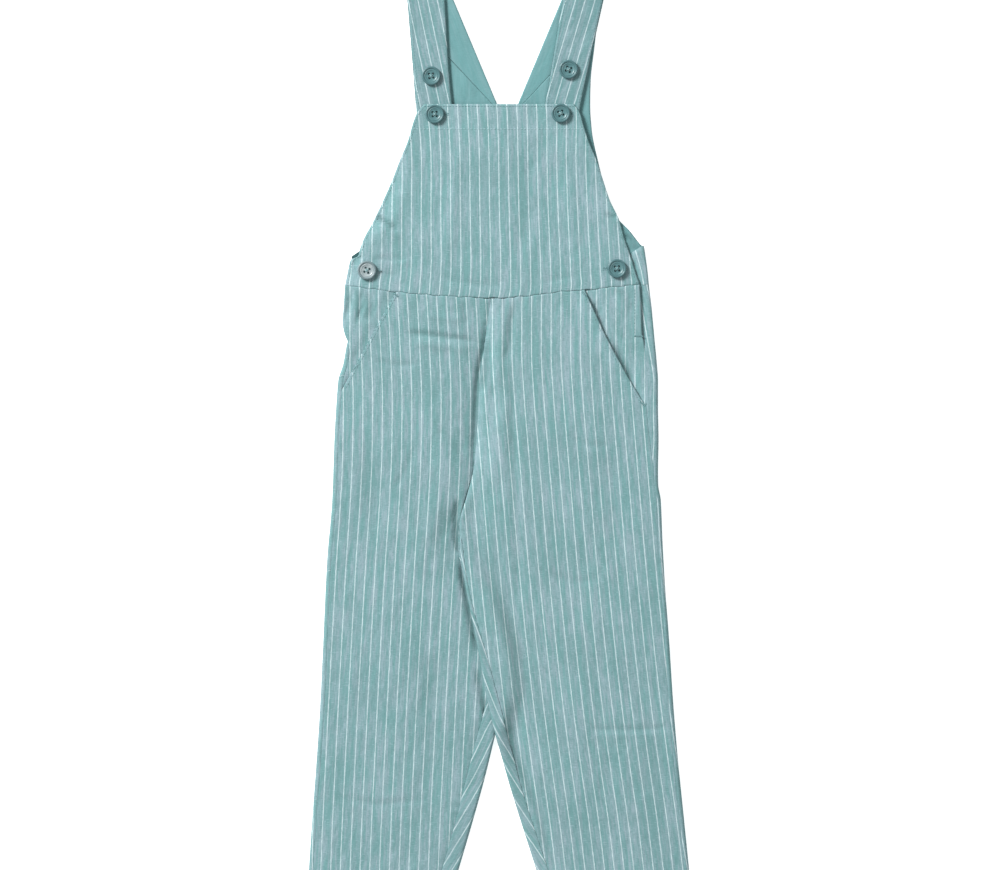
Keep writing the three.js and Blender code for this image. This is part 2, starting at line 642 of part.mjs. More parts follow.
function buttonGeometry() {
  const { radius, thickness, dish, holeRadius, holeOffset, sides } = BUTTON;
  const profile = [
    [0, 0],
    [radius - 1.2, 0],
    [radius, 0.9],
    [radius, thickness - 0.8],
    [radius - 0.7, thickness],
    [radius - 1.7, thickness],
    [radius - 2.6, thickness - dish],
    [0, thickness - dish],
  ].map(([r, z]) => new THREE.Vector2(r, z));
  const disc = new THREE.LatheGeometry(profile, sides).rotateX(Math.PI / 2);
  let solid = toManifold(disc);
  for (const [a, b] of [[1, 1], [1, -1], [-1, 1], [-1, -1]]) {
    const hole = new THREE.CylinderGeometry(holeRadius, holeRadius, thickness * 3, 6).rotateX(Math.PI / 2);
    hole.translate(a * holeOffset, b * holeOffset, 0);
    solid = solid.subtract(toManifold(hole));
  }
  return fromManifold(solid);
}

// Highest cloth under a button's face
function seat(button) {
  if (button.on === 'strap') return STRAP_TOP;
  let top = bibTop(button.across, button.down);
  for (const t of steps(12)) {
    const x = button.across + BUTTON.radius * Math.cos(2 * Math.PI * t);
    const down = button.down + BUTTON.radius * Math.sin(2 * Math.PI * t);
    top = Math.max(top, bibTop(x, down));
  }
  return top;
}

// Finishes
const striped = { color: 0x94b8bc, roughness: 0.9, metalness: 0 };
const plain = { color: 0x7fafb1, roughness: 0.88, metalness: 0 };
const darkButton = { color: 0x668a8e, roughness: 0.38, metalness: 0 };
const paleButton = { color: 0x93a3a5, roughness: 0.34, metalness: 0 };

function piece(name, geometry, finish) {
  const mesh = new THREE.Mesh(geometry, new THREE.MeshStandardMaterial(finish));
  mesh.name = name;
  return mesh;
}

const overalls = new THREE.Group();
overalls.name = 'kids_bib_overalls';
overalls.add(piece('back_bodice', clothWall(backBodice()), striped));
const liningFloor = bodiceFloor(LINING_FOOT, LINING, PLACKET_HEIGHT / 2 + 0.5);
overalls.add(piece('back_lining', clothWall(liningFloor), plain));
overalls.add(piece('front_bib', clothWall(frontBib()), striped));
for (const hand of ['left', 'right']) {
  overalls.add(piece(`strap_${hand}`, clothWall(strap(hand, 0, CLOTH, 0)), striped));
  overalls.add(piece(`strap_lining_${hand}`, clothWall(strap(hand, LINING_FOOT, LINING, 0.5)), plain));
  overalls.add(piece(`back_leg_${hand}`, clothWall(backLeg(hand)), striped));
  overalls.add(piece(`front_leg_${hand}`, clothWall(frontLeg(hand)), striped));
  overalls.add(piece(`hip_${hand}`, clothWall(hipPiece(hand)), striped));
}
const disc = buttonGeometry();
for (const button of BUTTONS) {
  const mesh = piece(button.name, disc, button.pale ? paleButton : darkButton);
  mesh.position.set(button.across, SHOULDER_Y - button.down, seat(button) + GAP);
  overalls.add(mesh);
}

export default overalls;
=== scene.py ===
"""Kids bib overalls laid flat with the front up: the cloth, the sewing and the buttons.

Sizes are millimetres until a mesh is made. X runs right, Y runs to the shoulders and Z is up.
"down" is the distance below the shoulder fold. Left and right are as seen from above.
"""

import math
from functools import partial

import bmesh
import bpy
import numpy as np
from mathutils import Matrix, Vector


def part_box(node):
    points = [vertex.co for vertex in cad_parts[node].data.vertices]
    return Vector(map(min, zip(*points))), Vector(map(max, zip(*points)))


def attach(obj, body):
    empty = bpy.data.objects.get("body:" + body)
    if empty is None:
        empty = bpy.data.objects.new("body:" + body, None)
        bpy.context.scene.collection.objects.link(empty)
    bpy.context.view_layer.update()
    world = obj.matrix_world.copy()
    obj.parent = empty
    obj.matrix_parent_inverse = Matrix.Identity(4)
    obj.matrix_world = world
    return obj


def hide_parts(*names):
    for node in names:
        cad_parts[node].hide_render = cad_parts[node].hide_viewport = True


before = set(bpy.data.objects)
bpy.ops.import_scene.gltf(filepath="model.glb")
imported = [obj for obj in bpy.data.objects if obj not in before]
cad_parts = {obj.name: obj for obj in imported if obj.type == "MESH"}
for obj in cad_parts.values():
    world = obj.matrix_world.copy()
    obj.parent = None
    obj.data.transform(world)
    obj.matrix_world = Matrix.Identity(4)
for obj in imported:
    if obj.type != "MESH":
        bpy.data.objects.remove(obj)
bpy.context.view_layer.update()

MM = 0.001

# Driving sizes
LENGTH = 855
SHOULDER_Y = LENGTH / 2
CROTCH_DOWN = 501.5
BACK_AXIS = 7.4
WAIST_SIDE = 287
GRID = 2.3

# Layers as they lie on each other
LAYER = 1.2
GAP = 0.3
CLOTH = 0.5
FACED_CLOTH = 0.9
LINING_FACE = 2.5
STRAP_TOP = 5.3
PLACKET_HEIGHT = 4.0
FRONT_TOP = PLACKET_HEIGHT + GAP + LAYER
BIB_CORNER_TOP = STRAP_TOP + GAP + LAYER


def table(columns, *rows):
    """Rows of numbers under named columns. None leaves a place empty."""
    names = columns.split()
    return [{n: v for n, v in zip(names, row) if v is not None} for row in rows]


# Back armhole edge, from the middle of the back
BACK_EDGE = table(
    "down half",
    (0, 92.5), (29, 86), (47, 81.5), (74, 78), (101, 75), (123, 74.5),
    (146, 76), (173, 81.5), (200, 88.5), (223, 97.5), (236, 110), (250, 123),
)
ARMHOLE_DOWN = 250
TUCK_DOWN = 232
WING_SLANT = 3.5
NECK = {"half_at_shoulder": 60.5, "slope": 0.419, "apex_down": 146}
BACK_SEAM = {"armhole_down": 50, "neck_down": 130}

# Sides: the back cloth's fold, the edge of its lap on top, and the front's own edge
SIDES = {
    "left": table(
        "down fold lap edge height",
        (250, -115.6, -103, None, PLACKET_HEIGHT), (272, -119.5, -107.5), (287, -122, -111, -139),
        (303, -125.5, -115, -140), (319, -129, -122, -141), (330, -133.5, -128, -139),
        (337.5, -137, -132.5, -135.5), (345.5, -138.5, -134.5, -134.1, PLACKET_HEIGHT),
        (356.5, -140.5, -136.5, -136.1, 5.0), (371, -145, -140.5, -140.1, FRONT_TOP),
        (389, -146.5, -142.5, -142.1), (425, -148.5, -144.5, -144.1), (479, -150.5, -146.5, -146.1),
        (533, -155, -151, -150.6), (605, -158.5, -154.5, -154.1), (659, -161, -157, -156.6),
        (713, -164.5, -160.5, -160.1), (767, -168.5, -164.5, -164.1), (812, -171.5, -167.5, -167.1),
        (855, -175, -171, -170.6, FRONT_TOP),
    ),
    "right": table(
        "down fold lap edge height",
        (250, 130.4, 117, None, PLACKET_HEIGHT), (272, 133.5, 118.5), (287, 135, 119.5, 126.5),
        (303, 137, 120.5, 127.5), (319, 138.5, 121.5, 128), (330, 139.5, 129, 128.5, PLACKET_HEIGHT),
        (345.5, 141, 130, 129.6, 5.2), (356.5, 142, 130.7, 130.3, FRONT_TOP), (371, 143, 131.5, 131.1),
        (395, 143, 132.7, 132.3), (425, 143.5, 135.5, 135.1), (452, 143, 139, 138.6),
        (465, 143.2, 139.7, 139.3), (479, 145.5, 142, 141.6), (515, 147, 143.2, 142.8),
        (551, 149, 145.2, 144.8), (605, 153, 149, 148.6), (659, 156.5, 152.5, 152.1),
        (713, 161, 157, 156.6), (767, 166.5, 162.5, 162.1), (812, 171, 167, 166.6),
        (855, 175, 171, 170.6, FRONT_TOP),
    ),
}

# Middle: the centre back and centre front seams, and below the crotch each leg's inner fold and its
# inseam on top. Height is that of the folded cloth, and lift how high the left leg carries the right.
MIDDLES = {
    "left": table(
        "down back front height",
        (297, 7, -7.5, 4.8), (336, 5, -13, 4.2), (377, 0.5, -18, 3.6), (418, -6.5, -20, 3.3),
        (452, -15.5, -23.5, 3.2), (476, -26, -29.5, 3.0), (CROTCH_DOWN, -36, -36, 2.8),
        (519, -33.8, -37, 2.9), (542, -26.5, -33.5, 3.5), (569, -13.5, -25.5, 4.3), (596, -3, -17, 4.8),
        (623, 3.5, -11.5, 5), (650, 4.5, -11, 5), (672, 1, -14.5, 5), (690, -3.5, -19.5, 5),
        (713, -9, -25.5, 5.2), (731, -13.5, -30, 5.4), (767, -23.5, -39, FRONT_TOP),
        (803, -34, -49, FRONT_TOP), (855, -49.5, -65, FRONT_TOP),
    ),
    "right": table(
        "down back front height lift",
        (297, 7, -7.5, 4.8, 0), (336, 5, -13, 4.5, 0), (377, 0.5, -18, 4.0, 0),
        (418, -6.5, -20, 3.8, 0), (452, -15.5, -23.5, 3.7, 0), (476, -26, -29.5, 3.3, 0.6),
        (CROTCH_DOWN, -36, -36, 2.9, 1.7), (519, -35.5, -33.2, 2.8, 3.4), (542, -32.8, -30.3, 2.9, 4.0),
        (569, -28, -25, 3.0, 4.8), (596, -22.5, -18, 3.1, 5.3), (623, -17.5, -10, 3.2, 5.5),
        (650, -12.5, -3, 3.3, 5.5), (672, -8, 3, 3.5, 5.5), (690, -3.5, 7, 3.9, 5.3),
        (713, 3, 13.5, 4.4, 2.8), (731, 8, 18, 4.8, 1.3), (767, 19, 29, 5.4, 0),
        (803, 30.5, 41, FRONT_TOP, 0), (855, 46.5, 57.5, FRONT_TOP, 0),
    ),
}
LIFT_SHOULDER = {"start": 1.6, "width": 18}

WAIST = table(
    "across down",
    (-139, 285.5), (-94, 291.5), (-53, 295), (-2, 297), (28, 295),
    (55, 291.5), (82, 289.5), (104, 287), (127, 285),
)
BIB = table(
    "down left right rest",
    (122.5, -67.5, 67, -78), (130.5, -74, 72.5), (141, -78, 75.5), (155, -82, 80, -79),
    (173, -89.5, 87.5, -80), (191, -96.5, 93.5, -81), (209, -104.5, 99.5, -84.5), (227, -113, 108, -94),
    (245, -122.5, 113, -112), (253.5, -125.6, 115.9, -116), (258.3, -126.6, 117.4, -118.2),
    (260.4, -128.5, 118.2, -118.9), (261.8, -133, 118.7, -119.3), (266, -134.8, 120, -120),
    (272, -136, 121.5, -121), (287, -139, 126.5, -123.5), (319, None, None, -130.5),
    (337.5, None, None, -138.5),
)
BIB_SINK = {"reach": 22, "depth": 3.6}
BIB_SHAPE = {"straps_end_down": 160, "over_straps_width": 40, "crown": 0.4, "crown_half": 70}
STRAPS = {
    "left": table(
        "down inner outer",
        (0, -52, -85), (29, -49, -82.5), (65, -47, -79.5),
        (96, -45, -77), (122, -42.5, -75), (151, -40, -73),
    ),
    "right": table(
        "down inner outer",
        (0, 65, 99.9), (29, 57.5, 93.5), (65, 51, 85.5),
        (96, 46, 79), (122, 41.5, 73.5), (151, 37.5, 69),
    ),
}
POCKETS = {
    "left": {"top": (-93, 291), "foot": (-141.2, 379), "bow": 0},
    "right": {"top": (77, 290), "foot": (130.6, 393), "bow": -2.6},
}
# How far each mouth gapes along its length
GAPES = {
    "left": table("along open", (0, 0), (0.45, 0.4), (0.8, 0), (1, 0)),
    "right": table(
        "along open",
        (0, 0), (0.1, 1.7), (0.22, 2.3), (0.38, 1.0), (0.5, 1.3), (0.66, 1.5), (0.78, 0.4), (0.9, 0),
        (1, 0)),
}
POCKET_SHUT = {"left": 0.54, "right": 0}
HIP = {
    "hidden": 15, "slope_start": 12, "slope_width": 10, "end_below": 9,
    "under_lap_left": 0.4, "under_lap_right": 1.2, "lap_down": 332, "shut_down": 330, "foot_inset": 0.6,
    "beside_lap": 8, "below_lap": 0.08,
}
FRONT_SHAPE = {"seam_valley": 28, "crown": 0.5, "gape_width": 16}

# Soft folds and creases pressed into the cloth: half width, rise (a trough is below nought), and the
# points (across, down) that it runs through
CREASES = {
    "front_bib": (
        (2.2, -2.8, (-115, 219), (-106, 226), (-90, 237)),
        (3.2, 0.9, (-113, 228), (-100, 236), (-88, 246)),
        (1.3, -1.5, (-114, 260.5), (-100, 260.8), (-80, 262)), (2.2, 0.63, (-100, 264), (-76, 265)),
        (1.5, -1.7, (95, 221), (107, 225)), (2.0, -0.9, (-121, 258), (-128, 262), (-134, 270)),
        (1.3, -1.9, (-112, 273), (-103, 275.5), (-91, 277)),
        (6.0, 0.63, (-38, 160), (-42, 220), (-47, 275)), (7.0, -0.54, (22, 150), (26, 210), (18, 270)),
        (5.0, 0.54, (60, 170), (68, 240), (70, 280)), (3.0, -0.72, (-60, 278), (-20, 284), (10, 285)),
        (2.5, -0.63, (36, 282), (70, 277)), (2.0, -0.81, (-132, 268), (-127, 280)),
    ),
    "left": (
        (2.2, -1.75, (-90, 327), (-62, 330), (-43, 332.5), (-30, 334), (-15, 338)),
        (3.8, 1.0, (-84, 336), (-50, 340), (-22, 345)), (3.0, 0.72, (-70, 312), (-30, 318)),
        (3.0, -0.9, (-33, 300), (-28, 322)), (2.4, -0.72, (-120, 352), (-92, 357), (-66, 356)),
        (9.0, 0.81, (-46, 470), (-66, 515), (-80, 560)),
        (12.0, -0.72, (-60, 600), (-66, 660), (-70, 720)), (12.0, -0.72, (-120, 400), (-112, 520)),
        (3.0, -0.81, (-58, 412), (-40, 424), (-30, 440)),
        (2.6, -0.63, (-95, 470), (-84, 452), (-76, 430)),
        (2.5, -2.7, (-37, 474), (-39, 494), (-38.5, 512), (-36, 530)),
        (2.8, -2.6, (-36.5, 526), (-33, 548), (-29, 569), (-23.5, 596), (-18, 625)),
        (2.6, -1.4, (-15, 336), (-20, 377), (-22, 418), (-25, 450)),
        (3.0, -2.0, (-22, 620), (-14, 660), (-8, 690), (-3, 712)),
        (3.0, -0.72, (-150, 745), (-110, 752), (-60, 748)), (5.0, 0.63, (-130, 600), (-134, 680)),
    ),
    "right": (
        (5.5, 1.2, (3, 300), (0, 340), (-3, 385)),
        (3.0, -1.3, (15, 297), (11, 318), (10, 336), (5, 360)),
        (3.2, -1.9, (-9, 330), (-11, 352), (-15, 386)), (2.6, -1.1, (-4, 350), (-7, 366), (-6, 392)),
        (7.0, 0.9, (7, 380), (-4, 440), (-14, 476)),
        (3.5, -1.08, (12, 330), (12, 411), (15, 500), (18, 591)),
        (9.0, -0.9, (-12, 505), (4, 575), (20, 640)), (12.0, -0.72, (96, 420), (104, 540)),
        (14.0, 0.9, (60, 640), (84, 760)),
        (4.0, -1.1, (0, 630), (7.5, 660), (14, 702), (26, 735), (35, 757), (44, 794), (56, 835)),
        (2.6, -0.8, (74, 684.5), (120, 685.5), (166, 682)), (3.0, 0.3, (80, 691), (150, 690)),
        (1.4, -1.44, (-29, 470), (-36, 479)), (3.0, -0.72, (60, 420), (84, 430), (104, 428)),
        (3.5, -0.63, (30, 540), (70, 552), (96, 548)),
    ),
    "hip_left": (
        (2.6, -1.6, (-118, 291), (-115, 304), (-119, 320)),
        (2.2, -1.5, (-132, 290), (-136, 303), (-139, 312)),
        (2.2, -1.8, (-126, 287), (-125, 306), (-128, 322)), (2.4, 0.8, (-130, 290), (-130, 322)),
        (1.5, -0.6, (-139, 315), (-134, 304), (-130, 298)), (1.6, -0.64, (-112, 300), (-116, 322)),
    ),
    "hip_right": (
        (2.4, -1.7, (84.5, 300), (90.5, 312.5)), (2.6, -1.7, (101, 334), (113, 357), (122.5, 374)),
        (1.6, -1.26, (104, 290), (113, 294), (119, 303), (121, 311)),
        (2.2, 0.72, (102, 296), (110, 302), (114, 312)), (2.0, -0.63, (108, 330), (120, 336)),
    ),
    "back_bodice": (
        (3.0, 1.05, (-60, 262), (-10, 270), (40, 264)), (5.0, 0.75, (30, 180), (36, 240)),
        (4.0, 0.75, (-50, 170), (-60, 232)), (2.5, 0.9, (70, 268), (100, 262)),
    ),
    "back_left": (
        (3.0, 1.12, (-110, 330), (-60, 338), (-20, 332)), (8.0, 0.84, (-60, 380), (-76, 520)),
        (3.0, 0.7, (-30, 400), (-18, 340)), (10.0, 0.7, (-110, 600), (-116, 760)),
        (3.0, 0.7, (-140, 690), (-80, 696)),
    ),
    "back_right": (
        (3.0, 1.12, (20, 326), (70, 334), (116, 328)), (8.0, 0.84, (60, 390), (76, 530)),
        (3.0, 0.7, (24, 350), (30, 420)), (10.0, 0.7, (100, 610), (112, 760)),
        (3.0, 0.7, (70, 700), (140, 694)),
    ),
    "back_lining": (
        (1.3, -1.6, (112, 237.5), (119, 243.5), (127, 250.3)),
        (1.6, -1.5, (117, 250), (123, 251.5), (130, 252)),
        (1.6, 1.0, (106, 242), (117, 248.5), (126, 253)),
        (2.2, -0.8, (92, 226), (102, 238), (112, 246)), (1.6, 0.8, (98, 224), (108, 236), (118, 242)),
        (3.0, 0.48, (-36, 92), (-22, 116)), (4.0, -0.48, (62, 120), (70, 180), (84, 214)),
    ),
}
# Long gentle waves of the whole cloth, and puckers beside a seam
WAVE = {"size": 0.16, "across": 19, "along": 67}
PUCKER = {"size": 0.32, "length": 8.5, "reach": 4.5}
# Painted shade: the cloth's colour is made darker deep in a crease, and where it turns away from above
CREASE_PAINTED_SHADE = {"start": 0.3, "depth": 2.0}
TURN_PAINTED_SHADE = {"start": 0.85, "range": 0.4, "shade": 0.75}

# The furrow along the centre front seam and the inseams, and how the right leg's edge rides over the
# left leg just above the crotch
FURROW = table(
    "down depth",
    (297, 0.4), (318, 1.0), (338, 2.2), (377, 2.2), (430, 2.0), (455, 1.3), (478, 0.6),
    (CROTCH_DOWN, 0.3), (620, 0.3), (LENGTH, 0.4),
)
FURROW_HALF = 3.0
OVERLAP = {"start": 462, "full": 482, "end": 520, "rise": 1.7, "reach": 10}
# Buttons by name, the finish each gets and how far it is turned. The pale finish paints the light that the
# left side button, of the same teal plastic, catches: a painted reflection.
BUTTONS = table(
    "name tone turn",
    ("button_strap_left", "teal", 0.12), ("button_strap_right", "teal", -0.35),
    ("button_bib_left", "teal", 0.05), ("button_bib_right", "teal", 0.3),
    ("button_side_left", "pale", -0.3), ("button_side_right", "teal", 0.08),
)

# Woven stripes: where one stripe runs on each panel, and the distance between stripes there
STRIPE_PITCH = 8.8
BIB_STRIPE = table(
    "down at pitch",
    (122, -2.3, 8.9), (136.8, -1.5, 8.86), (154.8, -0.9, 8.75), (172.8, -0.5, 8.69),
    (208.8, -0.05, 8.77), (244.8, 0.8, 8.87), (262.8, 1.3, 8.93), (276.3, 1.3, 9.0),
    (284.4, 1.2, 9.08), (291.6, 0.6, 9.08), (297, -0.6, 9.08),
)
LEG_STRIPE = {
    "left": table(
        "down at",
        (290, -83.4), (303, -82.4), (344, -80.3), (389, -78.7), (434, -79.2), (479, -81.2),
        (533, -84.8), (605, -88.9), (659, -91.8), (713, -94.5), (767, -97.2), (806, -98.8),
        (855, -100.5),
    ),
    "right": table(
        "down at",
        (290, 46.8), (308, 46.7), (344, 46.6), (389, 49.0), (434, 52.7), (479, 56.5),
        (533, 61.1), (605, 68.3), (659, 74.4), (713, 81.5), (767, 89.3), (806, 94.1), (855, 100),
    ),
}
STRAP_STRIPE = {
    "left": {"at_shoulder": -79.3, "slope": 0.208},
    "right": {"at_shoulder": 77.1, "slope": -0.294},
}
HIP_STRIPE = {"left": {"at": -117.3, "pitch": 8.55}, "right": {"at": 104.9, "pitch": 8.65}}
BACK_STRIPE = {"at_waist": 75, "at_hem": 85}

# A stripe on the left leg's lap: how far it runs inside the fold. It comes round the fold low down
LAP_STRIPE = table("down inside", (735, -1.2), (767, 0.9), (785, 1.6), (812, 3.3))

OUTWARD = {"left": -1, "right": 1}


def mix(start, end, t):
    return start + (end - start) * t


def clamp(t):
    return np.clip(t, 0, 1)


def ease(t):
    """Goes smoothly from 0 to 1 as t does."""
    t = clamp(t)
    return t * t * (3 - 2 * t)


def step(t, start, width):
    """Goes smoothly from 0 at the start to 1 where t is a width further."""
    return ease((t - start) / width)


class Curve:
    """A smooth curve through points (t, value) that never overshoots them."""

    def __init__(self, points):
        self.t, self.v = np.array(points, float).T
        rise = np.diff(self.v) / np.diff(self.t)
        product = rise[:-1] * rise[1:]
        total = rise[:-1] + rise[1:]
        inner = np.divide(2 * product, total, out=np.zeros_like(product), where=product > 0)
        self.slope = np.concatenate([rise[:1], inner, rise[-1:]])

    def __call__(self, t):
        t = np.clip(np.asarray(t, float), self.t[0], self.t[-1])
        k = np.clip(np.searchsorted(self.t, t) - 1, 0, len(self.t) - 2)
        w = self.t[k + 1] - self.t[k]
        s = (t - self.t[k]) / w
        start = self.v[k] * (1 + 2 * s) * (1 - s) ** 2 + w * self.slope[k] * s * (1 - s) ** 2
        end = self.v[k + 1] * s * s * (3 - 2 * s) - w * self.slope[k + 1] * s * s * (1 - s)
        return start + end


def column(rows, name, key="down"):
    return Curve([(row[key], row[name]) for row in rows if name in row])


back_half = column(BACK_EDGE, "half")
waist_line = column(WAIST, "down", "across")
bib = {name: column(BIB, name) for name in ("left", "right", "rest")}
side = {h: {n: column(SIDES[h], n) for n in ("fold", "lap", "edge", "height")} for h in OUTWARD}
middle = {h: {n: column(MIDDLES[h], n) for n in ("back", "front", "height")} for h in OUTWARD}
lift_at_fold = column(MIDDLES["right"], "lift")
furrow_depth = column(FURROW, "depth")
gape_at = {h: column(GAPES[h], "open", "along") for h in OUTWARD}
bib_stripe = {name: column(BIB_STRIPE, name) for name in ("at", "pitch")}
leg_stripe = {h: column(LEG_STRIPE[h], "at") for h in OUTWARD}
lap_stripe = column(LAP_STRIPE, "inside")


def waist(x):
    """The waist seam, which wavers a little where it is sewn."""
    return waist_line(x) + 0.3 * np.sin(x / 3.3) + 0.25 * np.sin(x / 1.9 + 1)


def neck_half(down):
    return np.maximum(0, NECK["half_at_shoulder"] - NECK["slope"] * down)


def along_mouth(hand, down):
    """What share of a pocket mouth's length lies above."""
    start, end = (POCKETS[hand][key][1] for key in ("top", "foot"))
    return (down - start) / (end - start)


def mouth(hand, down):
    """Where a pocket mouth lies across."""
    t = along_mouth(hand, down)
    pocket = POCKETS[hand]
    return mix(pocket["top"][0], pocket["foot"][0], t) + pocket["bow"] * np.sin(math.pi * clamp(t))


def lift_shoulder(down):
    return np.maximum(middle["left"]["back"](down), middle["right"]["back"](down)) + LIFT_SHOULDER["start"]


def lift(hand, x, down):
    """How high the underside of a leg is carried above the table."""
    if hand == "left":
        return np.zeros_like(x + down)
    return lift_at_fold(down) * (1 - step(x, lift_shoulder(down), LIFT_SHOULDER["width"]))


def line_distance(points, x, down):
    """Distance to a line through points, and the share of its length where it is nearest."""
    points = np.array(points, float)
    spans = np.diff(points, axis=0)
    lengths = np.hypot(*spans.T)
    away = np.full(np.broadcast(x, down).shape, 1e9)
    along = np.zeros_like(away)
    for start, span, length, before in zip(points, spans, lengths, np.cumsum(lengths) - lengths):
        t = clamp(((x - start[0]) * span[0] + (down - start[1]) * span[1]) / length ** 2)
        off = np.hypot(x - start[0] - t * span[0], down - start[1] - t * span[1])
        along = np.where(off < away, before + t * length, along)
        away = np.minimum(off, away)
    return away, along / lengths.sum()


def relief(name, x, down):
    """Height of the creases pressed into a piece, and of its long gentle waves."""
    total = np.zeros(np.broadcast(x, down).shape)
    for half, rise, *points in CREASES.get(name, ()):
        away, along = line_distance(points, x, down)
        total += rise * np.exp(-(away / half) ** 2) * ease(along * 4) * ease((1 - along) * 4)
    turn = len(name)
    wave = np.sin(x / WAVE["across"] + turn) * np.sin(down / WAVE["along"] + 2 * turn)
    wave += 0.6 * np.sin(x / (0.55 * WAVE["across"]) - down / (1.4 * WAVE["along"]) + turn)
    return total + WAVE["size"] * wave


def crease_painted_shade(name, points):
    """How deep in a crease the cloth lies, from 0 to 1. The cloth's colour is darkened there by that much,
    as painted shade.
    """
    depth = -relief(name, points[..., 0], SHOULDER_Y - points[..., 1]) - CREASE_PAINTED_SHADE["start"]
    return clamp(depth / CREASE_PAINTED_SHADE["depth"])


def pucker(along, distance, turn=0.0):
    """Small waves where a seam gathers the cloth a little."""
    wave = np.sin(2 * math.pi * along / PUCKER["length"] + turn)
    wave = wave * (0.7 + 0.3 * np.sin(along / 13 + turn))
    return PUCKER["size"] * wave * np.exp(-distance / PUCKER["reach"])


def roll(distance, reach, depth):
    """How far cloth turns down over the last stretch before its edge."""
    t = 1 - clamp(distance / reach)
    return depth * (1 - np.sqrt(1 - t * t))


def front_top(hand, x, down):
    """Top of a front leg's cloth."""
    from_seam = np.abs(x - middle[hand]["front"](down))
    width = np.abs(side[hand]["lap"](down) - middle[hand]["front"](down))
    seam_top = middle[hand]["height"](down)
    flat = mix(seam_top, FRONT_TOP, ease(from_seam / FRONT_SHAPE["seam_valley"]))
    crown = FRONT_SHAPE["crown"] * np.sin(math.pi * clamp(from_seam / width))
    from_mouth = np.abs(x - mouth(hand, down))
    gape = gape_at[hand](along_mouth(hand, down)) * (1 - ease(from_mouth / FRONT_SHAPE["gape_width"]))
    furrow = furrow_depth(down) * np.exp(-(from_seam / FURROW_HALF) ** 2)
    over = step(down, OVERLAP["start"], OVERLAP["full"] - OVERLAP["start"])
    over = over * ease((OVERLAP["end"] - down) / (OVERLAP["end"] - OVERLAP["full"]))
    over = OVERLAP["rise"] * over * (1 - ease(from_seam / OVERLAP["reach"])) * (hand == "right")
    small = pucker(down, from_seam) + pucker(x, down - waist(x), 1.0) + pucker(down, from_mouth, 2.0)
    shape = relief(hand, x, down) + small
    return flat + crown + gape + over - furrow + shape + lift(hand, x, down)


def sink(x, down):
    """How far the left part of the front sinks past the layers under it."""
    return BIB_SINK["depth"] * ease((bib["rest"](down) - x) / BIB_SINK["reach"])


def bib_top(x, down):
    shape = BIB_SHAPE
    over_straps = 1 - step(down, shape["straps_end_down"], shape["over_straps_width"])
    centre = (bib["left"](down) + bib["right"](down)) / 2
    crown = shape["crown"] * ease(1 - np.abs(x - centre) / shape["crown_half"])
    return mix(FRONT_TOP, BIB_CORNER_TOP, over_straps) + crown - sink(x, down)


def hip_top(hand, x, down):
    inward = (mouth(hand, down) - x) * OUTWARD[hand]
    under_front = ease((HIP["slope_start"] + inward) / HIP["slope_width"])
    dip = (FRONT_TOP - PLACKET_HEIGHT - POCKET_SHUT[hand]) * under_front
    return FRONT_TOP - dip - (sink(x, down) if hand == "left" else 0)


# Grids of points on the cloth's outer face


def spread(width, fine=(0.4, 0.9, 1.6, 2.6, 4.0)):
    """Shares from 0 to 1 across a width, closer together near both edges."""
    edge = np.array((0,) + fine) / width
    between = max(3, int((width - 2 * fine[-1]) / GRID) + 1)
    inner = np.linspace(edge[-1], 1 - edge[-1], between)[1:-1]
    return np.concatenate([edge, inner, 1 - edge[::-1]])


def down_rows(start, end, extra=()):
    """Distances down from start to end, closer together near both ends."""
    rows = mix(start, end, spread(end - start))
    keep = [row for row in rows if all(abs(row - other) > 0.6 for other in extra)]
    return np.array(sorted(keep + list(extra)))[:, None]


LOWEST_FRONT = 1.15
# Rows are counted from here at the waist, which they follow at first
WAIST_REF = 290
WAIST_FADE = 70


def leg_down(row, x):
    """A leg's row follows the waist seam at the top and lies level further down."""
    return row + (waist(x) - WAIST_REF) * (1 - step(row, WAIST_REF, WAIST_FADE))


def bib_down(row, x):
    """The bib's rows lie level at the top and follow the waist seam at the foot."""
    return row + (waist(x) - WAIST_SIDE) * step(row, WAIST_SIDE - 50, 50)


HEM = {"turn": 0.75, "depth": 26}
# How deep cloth turns down at its seams, and where that changes
SEAM = {
    "depth": 0.8, "flat": 0.18, "waist": 0.62, "mouth_left": 0.35, "mouth_right": 0.7, "furrow_down": 318,
    "furrow_fade": 18, "mouth_fades": 368, "crotch_fade": 12, "wing_sinks": 2.0,
}
# Over what width it turns down
TURN = {"edge": 1.2, "strap": 1.3, "lining": 1.4, "seam": 1.5, "waist": 1.6}
# Rough widths that set how many columns or rows a piece gets
WIDTH = {
    "back_leg": 110, "front_leg": 125, "hip": 45, "bib": 200, "shoulder_seam": 85, "bodice": 200,
    "strap": 33,
}
LEG_ROWS = down_rows(WAIST_REF, LENGTH - HEM["turn"], extra=(CROTCH_DOWN,))
ARC = np.linspace(0, 1, 9)[1:]
ARC_TURN = math.pi * (ARC[None, :] - 0.5)
LAP = np.array([0.2, 0.4, 0.6, 0.75, 0.87, 0.95, 1.0])


def stripes(x, line, pitch):
    """Across the weave from one stripe, with the panel's own distance between stripes made even."""
    return (x - line) * STRIPE_PITCH / pitch


def on_table(x, down, z):
    """Points from across, down and height."""
    x, down, z = np.broadcast_arrays(x, down, z)
    return np.stack([x, SHOULDER_Y - down, z], axis=-1)


